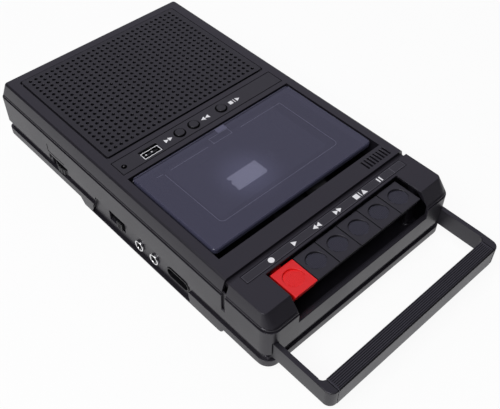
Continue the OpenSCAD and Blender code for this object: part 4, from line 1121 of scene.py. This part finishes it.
# Studio: a white floor, a soft light from the upper left and a wide weak one from the back right.
# The camera stands where the photograph was taken from.
camera_place = Vector((-235.46, -283.52, 383.57)) * mm
camera_turn, camera_rise, camera_roll = (math.radians(d) for d in (-43.58, 47.84, 0.74))
picture_width = 500
focal_pixels = 768
back = Vector((
    math.sin(camera_turn) * math.cos(camera_rise),
    -math.cos(camera_turn) * math.cos(camera_rise),
    math.sin(camera_rise),
))
camera = bpy.data.objects.new("camera", bpy.data.cameras.new("camera"))
camera.data.sensor_width = 36
camera.data.lens = focal_pixels / picture_width * camera.data.sensor_width
camera.data.clip_start, camera.data.clip_end = 0.01, 20
camera.matrix_world = (
    Matrix.Translation(camera_place)
    @ (-back).to_track_quat("-Z", "Y").to_matrix().to_4x4()
    @ Matrix.Rotation(camera_roll, 4, "Z")
)
bpy.context.scene.collection.objects.link(camera)
bpy.context.scene.camera = camera


def white_to_the_eye(tree, shader, output, share):
    """Shows a surface as white where the camera, a reflection or a see-through piece meets it."""
    nodes, link = tree.nodes, tree.links.new
    path = nodes.new("ShaderNodeLightPath").outputs
    seen = maths(tree, "MAXIMUM", path["Is Camera Ray"], path["Is Glossy Ray"])
    seen = maths(tree, "MAXIMUM", seen, path["Is Transmission Ray"])
    glow = nodes.new("ShaderNodeEmission")
    blend = nodes.new("ShaderNodeMixShader")
    link(maths(tree, "MULTIPLY", seen, share), blend.inputs["Fac"])
    link(shader, blend.inputs[1])
    link(glow.outputs[0], blend.inputs[2])
    link(blend.outputs[0], output)


floor_half = 4
white_share = 0.92
paper_grey = (0.9, 0.9, 0.9, 1)
dim_grey = (0.07, 0.07, 0.075, 1)
floor_corners = [(x * floor_half, y * floor_half, 0) for x, y in ((-1, -1), (1, -1), (1, 1), (-1, 1))]
floor_mesh = bpy.data.meshes.new("floor")
floor_mesh.from_pydata(floor_corners, [], [(0, 1, 2, 3)])
floor = bpy.data.objects.new("floor", floor_mesh)
bpy.context.scene.collection.objects.link(floor)
floor_white = bpy.data.materials.new("floor_white")
floor_white.use_nodes = True
paper = floor_white.node_tree.nodes["Principled BSDF"]
paper.inputs["Base Color"].default_value = paper_grey
paper.inputs["Roughness"].default_value = 0.9
white_to_the_eye(
    floor_white.node_tree, paper.outputs[0],
    floor_white.node_tree.nodes["Material Output"].inputs["Surface"], white_share,
)
floor_mesh.materials.append(floor_white)

world = bpy.data.worlds.new("surround")
bpy.context.scene.world = world
world.use_nodes = True
world_nodes, world_link = world.node_tree.nodes, world.node_tree.links.new
surround = world_nodes["Background"]
surround.inputs["Color"].default_value = dim_grey
sky_path = world_nodes.new("ShaderNodeLightPath")
white = world_nodes.new("ShaderNodeBackground")
sky = world_nodes.new("ShaderNodeMixShader")
world_link(sky_path.outputs["Is Camera Ray"], sky.inputs["Fac"])
world_link(surround.outputs[0], sky.inputs[1])
world_link(white.outputs[0], sky.inputs[2])
world_link(sky.outputs[0], world_nodes["World Output"].inputs["Surface"])


def soft_light(name, place, size, power, colour=(1, 1, 1)):
    """A square soft light that looks at the object."""
    lamp = bpy.data.objects.new(name, bpy.data.lights.new(name, "AREA"))
    lamp.data.size = size
    lamp.data.energy = power
    lamp.data.color = colour
    lamp.location = place
    lamp.rotation_euler = (-Vector(place)).to_track_quat("-Z", "Y").to_euler()
    bpy.context.scene.collection.objects.link(lamp)


soft_light("upper_left", (-1.1, -0.3, 1.65), 1.2, 34)
soft_light("back_right", (1.4, 1.45, 2.2), 3.2, 20, (1, 0.97, 1.12))

bpy.context.scene.view_settings.view_transform = "Standard"
